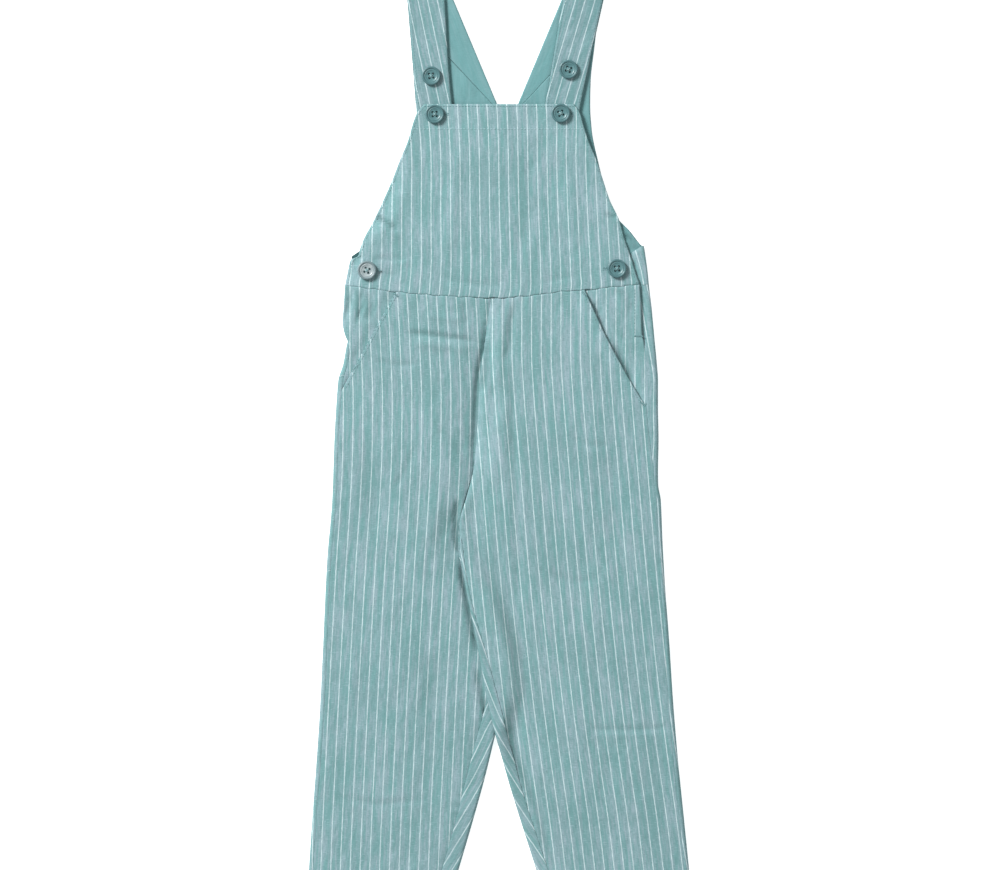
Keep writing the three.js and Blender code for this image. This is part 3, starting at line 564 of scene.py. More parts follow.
def fold_columns(fold, lap, outward, height, lift_at, seam_depth, opened=1.0):
    """Points round a fold, from the table up and over, and along the lap to its seam."""
    radius = height / 2
    centre = fold - outward * radius * opened
    arc_x = centre + outward * radius * opened * np.cos(ARC_TURN)
    arc_z = lift_at(fold) + radius + radius * np.sin(ARC_TURN)
    room = np.maximum(outward * (centre - lap), 0.2)
    lap_x = centre - outward * room * LAP[None, :]
    to_seam = room * (1 - LAP[None, :])
    lap_z = lift_at(lap_x) + height - roll(to_seam, np.minimum(TURN["seam"], room), seam_depth)
    return np.hstack([arc_x, lap_x]), np.hstack([arc_z, lap_z])


def leg_opened(row):
    """Goes from 0 at the crotch to 1 where a leg's inner fold is fully round."""
    return step(row, CROTCH_DOWN, 14)


def inner_seam(row):
    """Depth of the groove at the centre seam, and shallower at the inseams."""
    return mix(SEAM["depth"], SEAM["flat"], step(row, CROTCH_DOWN, SEAM["crotch_fade"]))


def back_leg(hand):
    """A back leg: flat below, round the outer fold to the outseam and the inner fold to the inseam."""
    out = OUTWARD[hand]
    row = LEG_ROWS
    at_side = leg_down(row, side[hand]["fold"](row))
    fold = side[hand]["fold"](at_side)
    height = side[hand]["height"](at_side)
    outer_x, outer_z = fold_columns(
        fold, side[hand]["lap"](at_side), out, height, lambda x: 0 * x, SEAM["flat"])
    outer_z[:, len(ARC):] -= lap_sag(hand, outer_x[:, len(ARC):], at_side)
    legged = row >= CROTCH_DOWN
    inner_fold = middle[hand]["back"](leg_down(row, middle[hand]["back"](row)))
    inner_height = middle[hand]["height"](row)
    opened = leg_opened(row)
    inset = inner_height / 2 * opened
    inner = inner_fold + out * inset
    near = np.maximum(inner + 0.4, lift_shoulder(row)) if hand == "right" else inner - 0.4
    far = near + out * LIFT_SHOULDER["width"]
    outer_end = fold - out * height / 2
    main = mix(outer_end, far, spread(WIDTH["back_leg"])[None, :-1])
    slope = mix(far, near, np.linspace(0, 1, 10)[None, :-1])
    floor_x = np.hstack([main, slope, mix(near, inner, np.array([[0, 0.5, 1]]))])
    floor_z = lift(hand, floor_x, row)
    to_seam = np.abs(floor_x - inner_fold)
    floor_z = floor_z + np.where(legged, 0, roll(to_seam, TURN["waist"], SEAM["depth"]))
    floor_z = floor_z + roll(row - WAIST_REF, TURN["waist"], 0.6)
    floor_z = floor_z + pressed("back_" + hand, floor_x, row)
    wing_x, wing_z = fold_columns(
        inner_fold, middle[hand]["front"](row), -out, inner_height,
        lambda x: lift(hand, x, row), inner_seam(row), opened)
    if hand == "right":
        wing_z = wing_z - SEAM["wing_sinks"] * (1 - step(row, CROTCH_DOWN, SEAM["crotch_fade"]))
    x = np.hstack([outer_x[:, ::-1], floor_x, wing_x])
    z = np.hstack([outer_z[:, ::-1], floor_z, wing_z])
    down = leg_down(row, x)
    shown = np.ones_like(x, bool)
    shown[:, outer_x.shape[1] + floor_x.shape[1]:] = legged
    u = back_leg_stripes(hand, x, down, outer_x.shape[1], wing_x.shape[1], fold, inner_fold, row)
    return on_table(x, down, z), shown, u


def pressed(name, x, down):
    """Creases on a side that lies on the table only stand away from it."""
    return np.maximum(0, relief(name, x, down) - 0.2)


def back_grain(hand, x, down):
    t = (down - WAIST_SIDE) / (LENGTH - WAIST_SIDE)
    return x - OUTWARD[hand] * mix(BACK_STRIPE["at_waist"], BACK_STRIPE["at_hem"], t)


def back_leg_stripes(hand, x, down, outer_count, inner_count, fold, inner_fold, row):
    """The woven stripes of a back leg run on round its folds as if the cloth were opened out."""
    u = back_grain(hand, x, down)
    for part, line in ((slice(0, outer_count), fold), (slice(-inner_count, None), inner_fold)):
        slope = np.gradient(line[:, 0], row[:, 0])[:, None]
        slope = np.clip(slope, -1.2, 1.2)
        past = (x[:, part] - line) / (1 + slope ** 2)
        turned = x[:, part] - 2 * past
        u[:, part] = back_grain(hand, turned, down[:, part] + 2 * slope * past)
    if hand == "left":
        beside = lap_stripe(row) - np.abs(fold - x[:, :outer_count])
        own = u[:, outer_count - 1:outer_count]
        shift = beside[:, -1:] - own
        shift = shift - STRIPE_PITCH * np.round(shift / STRIPE_PITCH)
        share = np.concatenate([0 * LAP + 1, ease(np.linspace(1, 0, len(ARC)) * 1.5)])
        u[:, :outer_count] = u[:, :outer_count] + shift * share[None, :]
    return u


def front_leg(hand):
    """A front leg, from the pocket mouth or outseam to the centre front seam or inseam."""
    out = OUTWARD[hand]
    row = LEG_ROWS
    edge_down = row
    for _ in range(3):
        lap = side[hand]["edge"](edge_down) + out * 0.4
        edge = np.where(edge_down < POCKETS[hand]["foot"][1], mouth(hand, edge_down), lap)
        edge_down = leg_down(row, edge)
    seam = middle[hand]["front"](leg_down(row, middle[hand]["front"](row)))
    turn = middle[hand]["height"](row) / 2 + 0.2
    turn = middle[hand]["back"](row) + out * turn * leg_opened(row)
    legged = row >= CROTCH_DOWN
    inner = np.where(legged, out * np.maximum(out * seam, out * turn), seam)
    x = mix(edge, inner, spread(WIDTH["front_leg"])[None, :])
    down = leg_down(row, x)
    z = front_top(hand, x, down)
    below_pocket = row > POCKETS[hand]["foot"][1]
    mouth_depth = SEAM["mouth_" + hand] * (1 - 0.6 * step(row, SEAM["mouth_fades"], SEAM["furrow_fade"]))
    edge_depth = np.where(below_pocket, SEAM["flat"], mouth_depth)
    seam_depth = mix(SEAM["flat"], inner_seam(row), step(row, SEAM["furrow_down"], SEAM["furrow_fade"]))
    z = z - roll(np.abs(x - edge), TURN["seam"], edge_depth)
    z = z - roll(np.abs(x - inner), TURN["seam"], seam_depth)
    z = z - roll(down - waist(x), TURN["seam"], SEAM["waist"])
    z = np.maximum(z, lift(hand, x, down) + LOWEST_FRONT)
    u = x - leg_stripe[hand](down)
    return on_table(x, down, z), None, u


def hip(hand):
    """A hip piece, from the side edge to under the front leg."""
    out = OUTWARD[hand]
    foot = POCKETS[hand]["foot"][1]
    row = down_rows(WAIST_REF, foot + HIP["end_below"])
    edge = side[hand]["edge"](leg_down(row, side[hand]["edge"](row)))
    under_lap = HIP["under_lap_" + hand]
    drawn_in = (HIP["foot_inset"] + under_lap) * step(row, foot - 4, 6)
    edge = edge + out * (under_lap * step(row, HIP["lap_down"], 6) - drawn_in)
    inner = mouth(hand, np.clip(row, POCKETS[hand]["top"][1], foot)) - out * HIP["hidden"]
    x = mix(edge, inner, spread(WIDTH["hip"])[None, :])
    down = leg_down(row, x)
    z = hip_top(hand, x, down) + relief("hip_" + hand, x, down) + pucker(x, down - waist(x), 3.0)
    closed = step(down, HIP["shut_down"], 8)
    rise_width = mix(2.5, 0.9, step(down, foot - 26, 10))
    beside = 1 - ease(np.abs(x - edge) / HIP["beside_lap"])
    beside = beside * step(out * (x - mouth(hand, down)), -0.1, rise_width)
    z = z + beside * np.maximum(0, side[hand]["height"](down) - HIP["below_lap"] - z)
    z = z - roll(np.abs(x - edge), TURN["edge"], mix(0.6, 0.3, closed))
    z = z - roll(down - waist(x), TURN["seam"], SEAM["waist"])
    z = np.maximum(z, CLOTH)
    return on_table(x, down, z), None, stripes(x, HIP_STRIPE[hand]["at"], HIP_STRIPE[hand]["pitch"])


def front_bib():
    """The bib, from its top edge to the waist seam."""
    row = down_rows(BIB[0]["down"], WAIST_SIDE)
    left, right = bib["left"](row), bib["right"](row)
    x = mix(left, right, spread(WIDTH["bib"])[None, :])
    down = bib_down(row, x)
    z = bib_top(x, down) + relief("front_bib", x, down) + pucker(x, waist(x) - down)
    edge = np.minimum(np.minimum(x - left, right - x), down - BIB[0]["down"])
    z = z + pucker(down, edge, 1.0)
    z = z - roll(edge, TURN["edge"], 0.7) - roll(waist(x) - down, TURN["waist"], SEAM["waist"])
    z = np.maximum(z, FACED_CLOTH)
    return on_table(x, down, z), None, stripes(x, bib_stripe["at"](down), bib_stripe["pitch"](down))


ARMHOLE_SHARE = (ARMHOLE_DOWN - BACK_SEAM["armhole_down"]) / (WAIST_SIDE - BACK_SEAM["armhole_down"])


def back_edge(hand, down):
    out = OUTWARD[hand]
    return np.where(down < ARMHOLE_DOWN, BACK_AXIS + out * back_half(down), side[hand]["fold"](down))


def bodice_columns():
    """Columns of the back bodice: share across, and where its top edge lies."""
    t = spread(WIDTH["shoulder_seam"])
    top = mix(BACK_SEAM["armhole_down"], BACK_SEAM["neck_down"], t)
    half = mix(back_half(BACK_SEAM["armhole_down"]), neck_half(BACK_SEAM["neck_down"]), t)
    right = 0.5 + half / back_half(top) / 2
    neck = np.linspace(0, 1, 5)[1:-1]
    neck_top = mix(BACK_SEAM["neck_down"], NECK["apex_down"], neck)
    neck_share = mix(right[-1], 0.5, neck)
    share = np.concatenate([1 - right, 1 - neck_share, [0.5], neck_share[::-1], right[::-1]])
    tops = np.concatenate([top, neck_top, [NECK["apex_down"]], neck_top[::-1], top[::-1]])
    return share[None, :], tops[None, :]


def bodice_floor(rows, inset):
    """Across, down and the distance to the nearest edge all over the flat of the back bodice."""
    share, top = bodice_columns()
    x0 = mix(back_edge("left", WAIST_SIDE), back_edge("right", WAIST_SIDE), share)
    down = mix(top, waist(x0), rows)
    tuck = inset * step(down, TUCK_DOWN, ARMHOLE_DOWN - TUCK_DOWN)
    left = back_edge("left", down) + tuck
    right = back_edge("right", down) - tuck
    x = mix(left, right, share)
    edge = np.minimum(np.minimum(x - left, right - x), down - top)
    return x, down, edge


def bodice_rows():
    """Shares down the back bodice, one of them just where the armholes end."""
    rows = spread(WIDTH["bodice"])
    return np.array(sorted([r for r in rows if abs(r - ARMHOLE_SHARE) > 0.006] + [ARMHOLE_SHARE]))[:, None]


LAP_SAG = {"depth": 1.3, "half": 2.6, "ends": 330, "fade": 12}


def lap_sag(hand, x, down):
    """How far the lap on a side sags beside the front's own edge, where the side opens."""
    if hand == "left":
        return 0 * x
    edge = np.where(down < WAIST_SIDE, bib["right"](down), side["right"]["edge"](down))
    open_side = 1 - step(down, LAP_SAG["ends"], LAP_SAG["fade"])
    return LAP_SAG["depth"] * np.exp(-((x - edge - 1) / LAP_SAG["half"]) ** 2) * open_side


def back_bodice():
    """The back's upper piece: flat below the neck and armholes, and round both sides."""
    rows = bodice_rows()
    floor_x, floor_down, edge = bodice_floor(rows, PLACKET_HEIGHT / 2)
    above = rows < ARMHOLE_SHARE
    floor_z = np.where(above, roll(edge, TURN["edge"], 1.0), 0) + roll(1 - rows, 0.009, 0.6)
    floor_z = floor_z + pressed("back_bodice", floor_x, floor_down)
    parts = {}
    for hand, out in OUTWARD.items():
        t = (rows - ARMHOLE_SHARE) / (1 - ARMHOLE_SHARE)
        lag = WING_SLANT * np.concatenate([0 * ARC, 2 * LAP])[None, :]
        foot = waist(side[hand]["fold"](WAIST_SIDE))
        down = mix(ARMHOLE_DOWN + lag, foot, clamp(t))
        lap = side[hand]["lap"](down)
        radius = PLACKET_HEIGHT / 2
        centre = side[hand]["fold"](down) - out * radius
        count = len(ARC)
        arc_x = centre[:, :count] + out * radius * np.cos(ARC_TURN)
        arc_z = radius + radius * np.sin(ARC_TURN) + 0 * arc_x
        lap_x = mix(centre[:, count:], lap[:, count:], LAP[None, :])
        lap_z = PLACKET_HEIGHT - lap_sag(hand, lap_x, down[:, count:])
        lap_z = lap_z - roll(down[:, count:] - ARMHOLE_DOWN - lag[:, count:], TURN["edge"], 0.8)
        parts[hand] = (np.hstack([arc_x, lap_x]), down, np.hstack([arc_z, lap_z]))
    lx, ld, lz = (part[:, ::-1] for part in parts["left"])
    rx, rd, rz = parts["right"]
    x = np.hstack([lx, floor_x, rx])
    down = np.hstack([ld, floor_down, rd])
    z = np.hstack([lz, floor_z, rz])
    shown = np.ones_like(x, bool)
    shown[:, :lx.shape[1]] = ~above
    shown[:, -rx.shape[1]:] = ~above
    u = x - BACK_AXIS
    u[:, :lx.shape[1]] = 2 * side["left"]["fold"](ld) - lx - BACK_AXIS
    u[:, -rx.shape[1]:] = 2 * side["right"]["fold"](rd) - rx - BACK_AXIS
    return on_table(x, down, z), shown, u


def back_lining():
    """The plain lining on the back bodice."""
    x, down, edge = bodice_floor(bodice_rows(), PLACKET_HEIGHT / 2 + 0.5)
    z = LINING_FACE + relief("back_lining", x, down) - roll(edge, TURN["lining"], 1.2)
    z = np.maximum(z, 2 * CLOTH)
    return on_table(x, down, z), None, x


FACING = {
    "left": -133, "right": -121, "pivot": -124.4, "top": 253.4, "slant": 0.7, "foot": 264, "below": 2.0,
    "hollow": 0.8,
}


def side_facing():
    """The turned-in end of the left side opening, seen in its notch. Its dark finish is painted shade, for
    the shadow in the notch.
    """
    share = np.linspace(0, 1, 9)
    x = mix(FACING["left"], FACING["right"], share)[None, :] + 0 * share[:, None]
    down = mix(FACING["top"] - FACING["slant"] * (x - FACING["pivot"]), FACING["foot"], share[:, None])
    hollow = FACING["hollow"] * np.sin(math.pi * share)[None, :]
    z = np.maximum(bib_top(x, down) - FACING["below"] - hollow, CLOTH)
    return on_table(x, down, z), None, x


STRAP_ROWS = {"front": 66, "turn": 12, "back": 48}
STRAP_GRAIN = 36


def strap(hand, depth, inset, roll_depth):
    """A strap from its end under the bib, over the shoulder, to the slanted seam on the back."""
    out = OUTWARD[hand]
    inner = column(STRAPS[hand], "inner")
    outer = column(STRAPS[hand], "outer")
    radius = STRAP_TOP / 2
    t = spread(WIDTH["strap"])[None, :]
    end = STRAPS[hand][-1]["down"]
    front = np.linspace(end, radius, STRAP_ROWS["front"])[:, None]
    turn = np.linspace(0, 1, STRAP_ROWS["turn"])[1:-1, None]
    back = np.linspace(0, 1, STRAP_ROWS["back"])[:, None]

    def across(inner_x, outer_x):
        return mix(inner_x + out * inset, outer_x - out * inset, t)

    def sewn(x, inner_x, outer_x):
        from_edge = np.minimum(np.abs(x - inner_x), np.abs(x - outer_x))
        return roll(from_edge, TURN["strap"], roll_depth)

    front_x = across(inner(front), outer(front))
    front_z = STRAP_TOP - depth - sewn(front_x, inner(front), outer(front))
    front_down = front + 0 * front_x
    angle = math.pi * (0.5 - turn)
    turn_x = across(inner(0), outer(0)) + 0 * angle
    size = radius - depth - sewn(turn_x, inner(0), outer(0))
    turn_down = radius - size * np.cos(angle)
    turn_z = radius + size * np.sin(angle)
    outer_down = mix(radius, BACK_SEAM["armhole_down"], back)
    inner_down = mix(radius, BACK_SEAM["neck_down"], back)
    settle = ease(back * 5)
    outer_x = mix(outer(0), BACK_AXIS + out * back_half(outer_down), settle)
    inner_x = mix(inner(0), BACK_AXIS + out * neck_half(inner_down), settle)
    back_x = across(inner_x, outer_x)
    back_down = mix(inner_down, outer_down, t)
    back_z = depth + sewn(back_x, inner_x, outer_x)
    x = np.vstack([front_x, turn_x, back_x])
    down = np.vstack([front_down, turn_down, back_down])
    z = np.vstack([front_z, turn_z, back_z])
    line = STRAP_STRIPE[hand]
    u = x - line["at_shoulder"] - line["slope"] * down
    u[len(front) + len(turn):] = (t - 0.5) * STRAP_GRAIN + 0 * back_x
    return on_table(x, down, z), None, u


# Meshes


def add_object(name, data, finish=None):
    """A new object in the scene. A mesh may get a finish."""
    if finish:
        data.materials.append(finish)
    made = bpy.data.objects.new(name, data)
    bpy.context.scene.collection.objects.link(made)
    return made


def grid_normals(points):
    along = np.gradient(points, axis=0)
    across = np.gradient(points, axis=1)
    normal = np.cross(across, along)
    return normal / np.maximum(np.linalg.norm(normal, axis=-1, keepdims=True), 1e-9)


def outward_normals(points, facing):
    """Normals turned so that the cloth's face looks up (1) or down (-1) in the middle of its first rows."""
    normals = grid_normals(points)
    return normals * np.sign(normals[8, points.shape[1] // 2, 2]) * facing


def turn_hem(points, shown, u, v, facing):
    """Turns the last rows of a leg up inside, as a hem."""
    normals = outward_normals(points, facing)
    radius = HEM["turn"]
    end = points[-1]
    rows = []
    for angle in np.linspace(0, math.pi, 6)[1:]:
        away = np.array([0, -math.sin(angle) * radius, 0])
        rows.append(end + away - normals[-1] * radius * (1 - math.cos(angle)))
    start_y = end[0, 1] + HEM["depth"]
    back = [k for k in range(len(points) - 2, 0, -1) if points[k, 0, 1] < start_y]
    rows += [points[k] - normals[k] * 2 * radius for k in back]
    order = [len(points) - 1] * 5 + back
    extended = np.concatenate([points, np.array(rows)])
    if shown is not None:
        shown = np.concatenate([shown, shown[order]])
    u = np.concatenate([u, u[order]])
    v = np.concatenate([v, 2 * v[-1] - v[order]])
    return extended, shown, u, v


def closed_faces(points, normals, shown):
    """Faces of the shown cells, of the same cells on the inside, and of the rim between both."""
    rows, cols = points.shape[:2]
    ids = np.arange(rows * cols).reshape(rows, cols)
    cells = shown[:-1, :-1] & shown[:-1, 1:] & shown[1:, :-1] & shown[1:, 1:]
    corners = (ids[:-1, :-1], ids[:-1, 1:], ids[1:, 1:], ids[1:, :-1])
    top = np.stack([corner[cells] for corner in corners], axis=1)
    a, b, _, d = points.reshape(-1, 3)[top[0]]
    if np.dot(np.cross(b - a, d - a), normals.reshape(-1, 3)[top[0][0]]) < 0:
        top = top[:, ::-1]
    ends = np.roll(top, -1, axis=1).reshape(-1)
    edges = set(zip(top.reshape(-1).tolist(), ends.tolist()))
    rim = [(e, s, s + rows * cols, e + rows * cols) for s, e in edges if (e, s) not in edges]
    return np.concatenate([top, top[:, ::-1] + rows * cols, np.array(sorted(rim))])


def cloth(name, points, shown, u, thickness, finish, facing, hem=False, grain_shift=0.0, creases=""):
    """A thin closed sheet of cloth under a grid of points on its outer face."""
    v = SHOULDER_Y - points[..., 1]
    if hem:
        points, shown, u, v = turn_hem(points, shown, u, v, facing)
    if shown is None:
        shown = np.ones(points.shape[:2], bool)
    normals = outward_normals(points, facing)
    faces = closed_faces(points, normals, shown)
    used, compact = np.unique(faces, return_inverse=True)
    inside = points - normals * thickness
    everything = np.concatenate([points.reshape(-1, 3), inside.reshape(-1, 3)])[used] * MM
    mesh = bpy.data.meshes.new(name)
    mesh.from_pydata(everything.tolist(), [], compact.reshape(faces.shape).tolist())
    mesh.update()
    uv = np.stack([u.reshape(-1) * MM, v.reshape(-1) * MM + grain_shift], axis=1)
    uv = np.concatenate([uv, uv])[faces.reshape(-1)]
    layer = mesh.uv_layers.new(name="cloth")
    layer.data.foreach_set("uv", uv.astype(np.float32).reshape(-1))
    # Painted shade: a darker colour where the cloth turns away from above and deep in its creases, kept in
    # an attribute for the finish
    turned = TURN_PAINTED_SHADE["shade"] * clamp((TURN_PAINTED_SHADE["start"] - np.abs(normals[..., 2])) / TURN_PAINTED_SHADE["range"])
    painted_shade = np.tile(np.maximum(crease_painted_shade(creases, points), turned).reshape(-1), 2)[used]
    made = mesh.attributes.new("painted_shade", "FLOAT", "POINT")
    made.data.foreach_set("value", painted_shade.astype(np.float32))
    mesh.shade_smooth()
    mesh.set_sharp_from_angle(angle=math.radians(55))
    return add_object(name, mesh, finish)


# Finishes


def add_node(tree, kind, inputs=(), **settings):
    """A node with its settings, and inputs given as values or as sockets to link."""
    made = tree.nodes.new(kind)
    for name, value in settings.items():
        setattr(made, name, value)
    for key, value in dict(inputs).items():
        if isinstance(value, bpy.types.NodeSocket):
            tree.links.new(value, made.inputs[key])
        else:
            made.inputs[key].default_value = value
    return made


def out_of(tree, kind, inputs=(), **settings):
    """The first output of a new node."""
    return add_node(tree, kind, inputs, **settings).outputs[0]


def math_node(tree, operation, first, second=0.0):
    return out_of(tree, "ShaderNodeMath", {0: first, 1: second}, operation=operation)


def times(tree, first, second):
    return math_node(tree, "MULTIPLY", first, second)


def plus(tree, first, second):
    return math_node(tree, "ADD", first, second)


def mix_colour(tree, factor, first, second):
    return add_node(
        tree, "ShaderNodeMix", {0: factor, 6: first, 7: second}, data_type="RGBA").outputs[2]


def ramp(tree, value, low, high):
    """A mask that goes from 0 to 1 as the value goes from low to high."""
    return out_of(
        tree, "ShaderNodeMapRange", {0: value, 1: low, 2: high, 3: 0.0, 4: 1.0},
        interpolation_type="SMOOTHSTEP")


def bump(tree, strength, depth, height, **more):
    """Normals of a relief that is so many millimetres deep."""
    given = {"Strength": strength, "Distance": depth * MM, "Height": height, **more}
    return out_of(tree, "ShaderNodeBump", given)


def new_group(name, inputs, outputs, kind="ShaderNodeTree"):
    """An empty group with named inputs (name, kind, value) and outputs (name, kind)."""
    group = bpy.data.node_groups.new(name, kind)
    for title, socket_kind, value in inputs:
        socket = group.interface.new_socket(name=title, in_out="INPUT", socket_type=socket_kind)
        if value is not None:
            socket.default_value = value
    for title, socket_kind in outputs:
        group.interface.new_socket(name=title, in_out="OUTPUT", socket_type=socket_kind)
    return group, group.nodes.new("NodeGroupInput").outputs, group.nodes.new("NodeGroupOutput").inputs


FLOAT, VECTOR, GEOMETRY = "NodeSocketFloat", "NodeSocketVector", "NodeSocketGeometry"


def stretched_noise(tree, place, across, along, detail=3.0):
    """Noise whose grains are across by along millimetres on the cloth."""
    scale = (1 / (across * MM), 1 / (along * MM), 1)
    mapped = out_of(tree, "ShaderNodeMapping", {"Vector": place, "Scale": scale})
    return out_of(
        tree, "ShaderNodeTexNoise", {"Vector": mapped, "Scale": 1.0, "Detail": detail},
        noise_dimensions="2D")


def make_streaks():
    """Long uneven streaks of the two yarns, and thicker places and flecks in the cross yarn."""
    group, given, out = new_group(
        "yarn streaks", [("Place", VECTOR, None)],
        [("Streak", FLOAT), ("Shade", FLOAT), ("Slub", FLOAT), ("Fleck", FLOAT)])

    def show(name, value, low, high):
        group.links.new(ramp(group, value, low, high), out[name])

    grain = partial(stretched_noise, group, given["Place"])
    wide = grain(6.0, 70.0)
    narrow = grain(1.9, 22.0)
    show("Streak", plus(group, times(group, wide, 0.5), times(group, narrow, 0.5)), 0.36, 0.64)
    cloud = grain(34.0, 48.0)
    yarn = grain(1.3, 9.0, detail=2.0)
    show("Shade", plus(group, times(group, cloud, 0.45), times(group, yarn, 0.55)), 0.35, 0.65)
    show("Slub", grain(5.5, 0.8, detail=1.0), 0.62, 0.78)
    show("Fleck", grain(3.2, 0.9, detail=2.0), 0.56, 0.74)
    return group


def make_weave():
    """Height of a plain weave of round yarns."""
    group, given, out = new_group(
        "plain weave", [("Place", VECTOR, None), ("Yarn", FLOAT, 0.45)], [("Height", FLOAT)])
    parts = add_node(group, "ShaderNodeSeparateXYZ", {0: given["Place"]}).outputs
    turns = math_node(group, "DIVIDE", math.pi / MM, given["Yarn"])
    across, along = (math_node(group, "SINE", times(group, parts[k], turns)) for k in (0, 1))
    group.links.new(times(group, across, along), out["Height"])
    return group


def make_stripe():
    """A mask of thin woven lines with soft uneven sides."""
    group, given, out = new_group(
        "woven stripe",
        [("Place", VECTOR, None), ("Pitch", FLOAT, STRIPE_PITCH), ("Width", FLOAT, 1.0)],
        [("Stripe", FLOAT)])
    parts = add_node(group, "ShaderNodeSeparateXYZ", {0: given["Place"]}).outputs
    across = math_node(group, "DIVIDE", parts[0], MM)
    wobble = stretched_noise(group, given["Place"], 6.0, 2.4, detail=2.0)
    across = plus(group, across, times(group, wobble, 0.5))
    centred = math_node(group, "SUBTRACT", across, 0.25)
    away = math_node(group, "PINGPONG", centred, times(group, given["Pitch"], 0.5))
    edge = math_node(group, "SUBTRACT", times(group, given["Width"], 0.5), away)
    worn = ramp(group, stretched_noise(group, given["Place"], 4.0, 5.0), 0.3, 0.7)
    worn = plus(group, times(group, worn, 0.4), 0.6)
    group.links.new(times(group, ramp(group, edge, -0.22, 0.2), worn), out["Stripe"])
    return group


def linear(colour, change=1.0):
    """A colour as seen, 0 to 255, for a shader, and as much paler or darker as the change says."""
    values = [c / 255 for c in colour]
    values = [c / 12.92 if c <= 0.04045 else ((c + 0.055) / 1.055) ** 2.4 for c in values]
    return tuple(min(1.0, c * change) for c in values) + (1.0,)


GROUPS = {"streaks": make_streaks(), "weave": make_weave(), "stripe": make_stripe()}


def use_group(tree, key, place, inputs=()):
    made = tree.nodes.new("ShaderNodeGroup")
    made.node_tree = GROUPS[key]
    tree.links.new(place, made.inputs["Place"])
    for name, value in dict(inputs).items():
        made.inputs[name].default_value = value
    return made.outputs


def new_material(name, constants):
    """A material, its tree and its shader's sockets, with constants set on them."""
    material = bpy.data.materials.new(name)
    material.use_nodes = True
    sockets = material.node_tree.nodes["Principled BSDF"].inputs
    for key, value in constants.items():
        sockets[key].default_value = value
    return material, material.node_tree, sockets


def cloth_finish(name, warp, weft, stripe=None, rough=1.0):
    """Woven cotton: streaky yarns, a plain weave, where given thin pale stripes, and painted shade from the
    cloth's attribute.
    """
    material, tree, sockets = new_material(
        name, {"Roughness": 0.9, "Specular IOR Level": 0.2, "Sheen Weight": 0.05, "Sheen Roughness": 0.5})
    place = out_of(tree, "ShaderNodeUVMap", uv_map="cloth")
    streaks = use_group(tree, "streaks", place)
    weave = use_group(tree, "weave", place)
    colour = mix_colour(tree, streaks["Streak"], linear(warp), linear(weft))
    for mask, share, tone in (
            ("Shade", 0.6, linear(warp, 0.82)), ("Slub", 0.42, linear(weft, 1.25)),
            ("Fleck", 0.42, linear(warp, 0.66))):
        colour = mix_colour(tree, times(tree, streaks[mask], share * rough), colour, tone)
    if stripe:
        mask = use_group(tree, "stripe", place, {"Pitch": STRIPE_PITCH, "Width": 0.86})["Stripe"]
        colour = mix_colour(tree, mask, colour, linear(stripe))
    # Painted shade: the colour goes towards a darker warp where the attribute says the cloth lies in a
    # crease or turns away from above
    painted_shade = add_node(tree, "ShaderNodeAttribute", attribute_name="painted_shade").outputs["Fac"]
    colour = mix_colour(tree, times(tree, painted_shade, 0.6), colour, linear(warp, 0.5))
    tree.links.new(colour, sockets["Base Color"])
    height = plus(tree, times(tree, weave["Height"], 0.5), times(tree, streaks["Slub"], 0.5))
    fine = bump(tree, 0.5, 0.08, height)
    soft = stretched_noise(tree, place, 13.0, 24.0, detail=2.0)
    tree.links.new(bump(tree, 0.6, 1.4, soft, Normal=fine), sockets["Normal"])
    return material


def object_noise(tree, *scales_and_details):
    """Even noises in the object's own space."""
    place = add_node(tree, "ShaderNodeTexCoord").outputs["Object"]
    return [out_of(tree, "ShaderNodeTexNoise", {"Vector": place, "Scale": scale, "Detail": detail})
            for scale, detail in scales_and_details]


def plastic_finish(name, body, deep, rim_colour):
    """Moulded button plastic, a little cloudy, with a darker rim."""
    material, tree, sockets = new_material(name, {})
    cloud, fine = object_noise(tree, (260.0, 3.0), (2200.0, 2.0))
    rim = add_node(tree, "ShaderNodeAttribute", attribute_name="rim").outputs["Fac"]
    colour = mix_colour(tree, ramp(tree, cloud, 0.3, 0.7), linear(body), linear(deep))
    tree.links.new(mix_colour(tree, rim, colour, linear(rim_colour)), sockets["Base Color"])
    rough = out_of(tree, "ShaderNodeMapRange", {0: fine, 3: 0.28, 4: 0.46})
    tree.links.new(rough, sockets["Roughness"])
    tree.links.new(bump(tree, 0.15, 0.05, fine), sockets["Normal"])
    return material


def thread_finish(name, colour, lit):
    """Twisted sewing thread."""
    material, tree, sockets = new_material(name, {"Roughness": 0.7, "Sheen Weight": 0.15})
    noise, = object_noise(tree, (900.0, 2.0))
    colour = mix_colour(tree, ramp(tree, noise, 0.35, 0.65), linear(colour), linear(lit))
    tree.links.new(colour, sockets["Base Color"])
    tree.links.new(bump(tree, 0.4, 0.05, noise), sockets["Normal"])
    return material


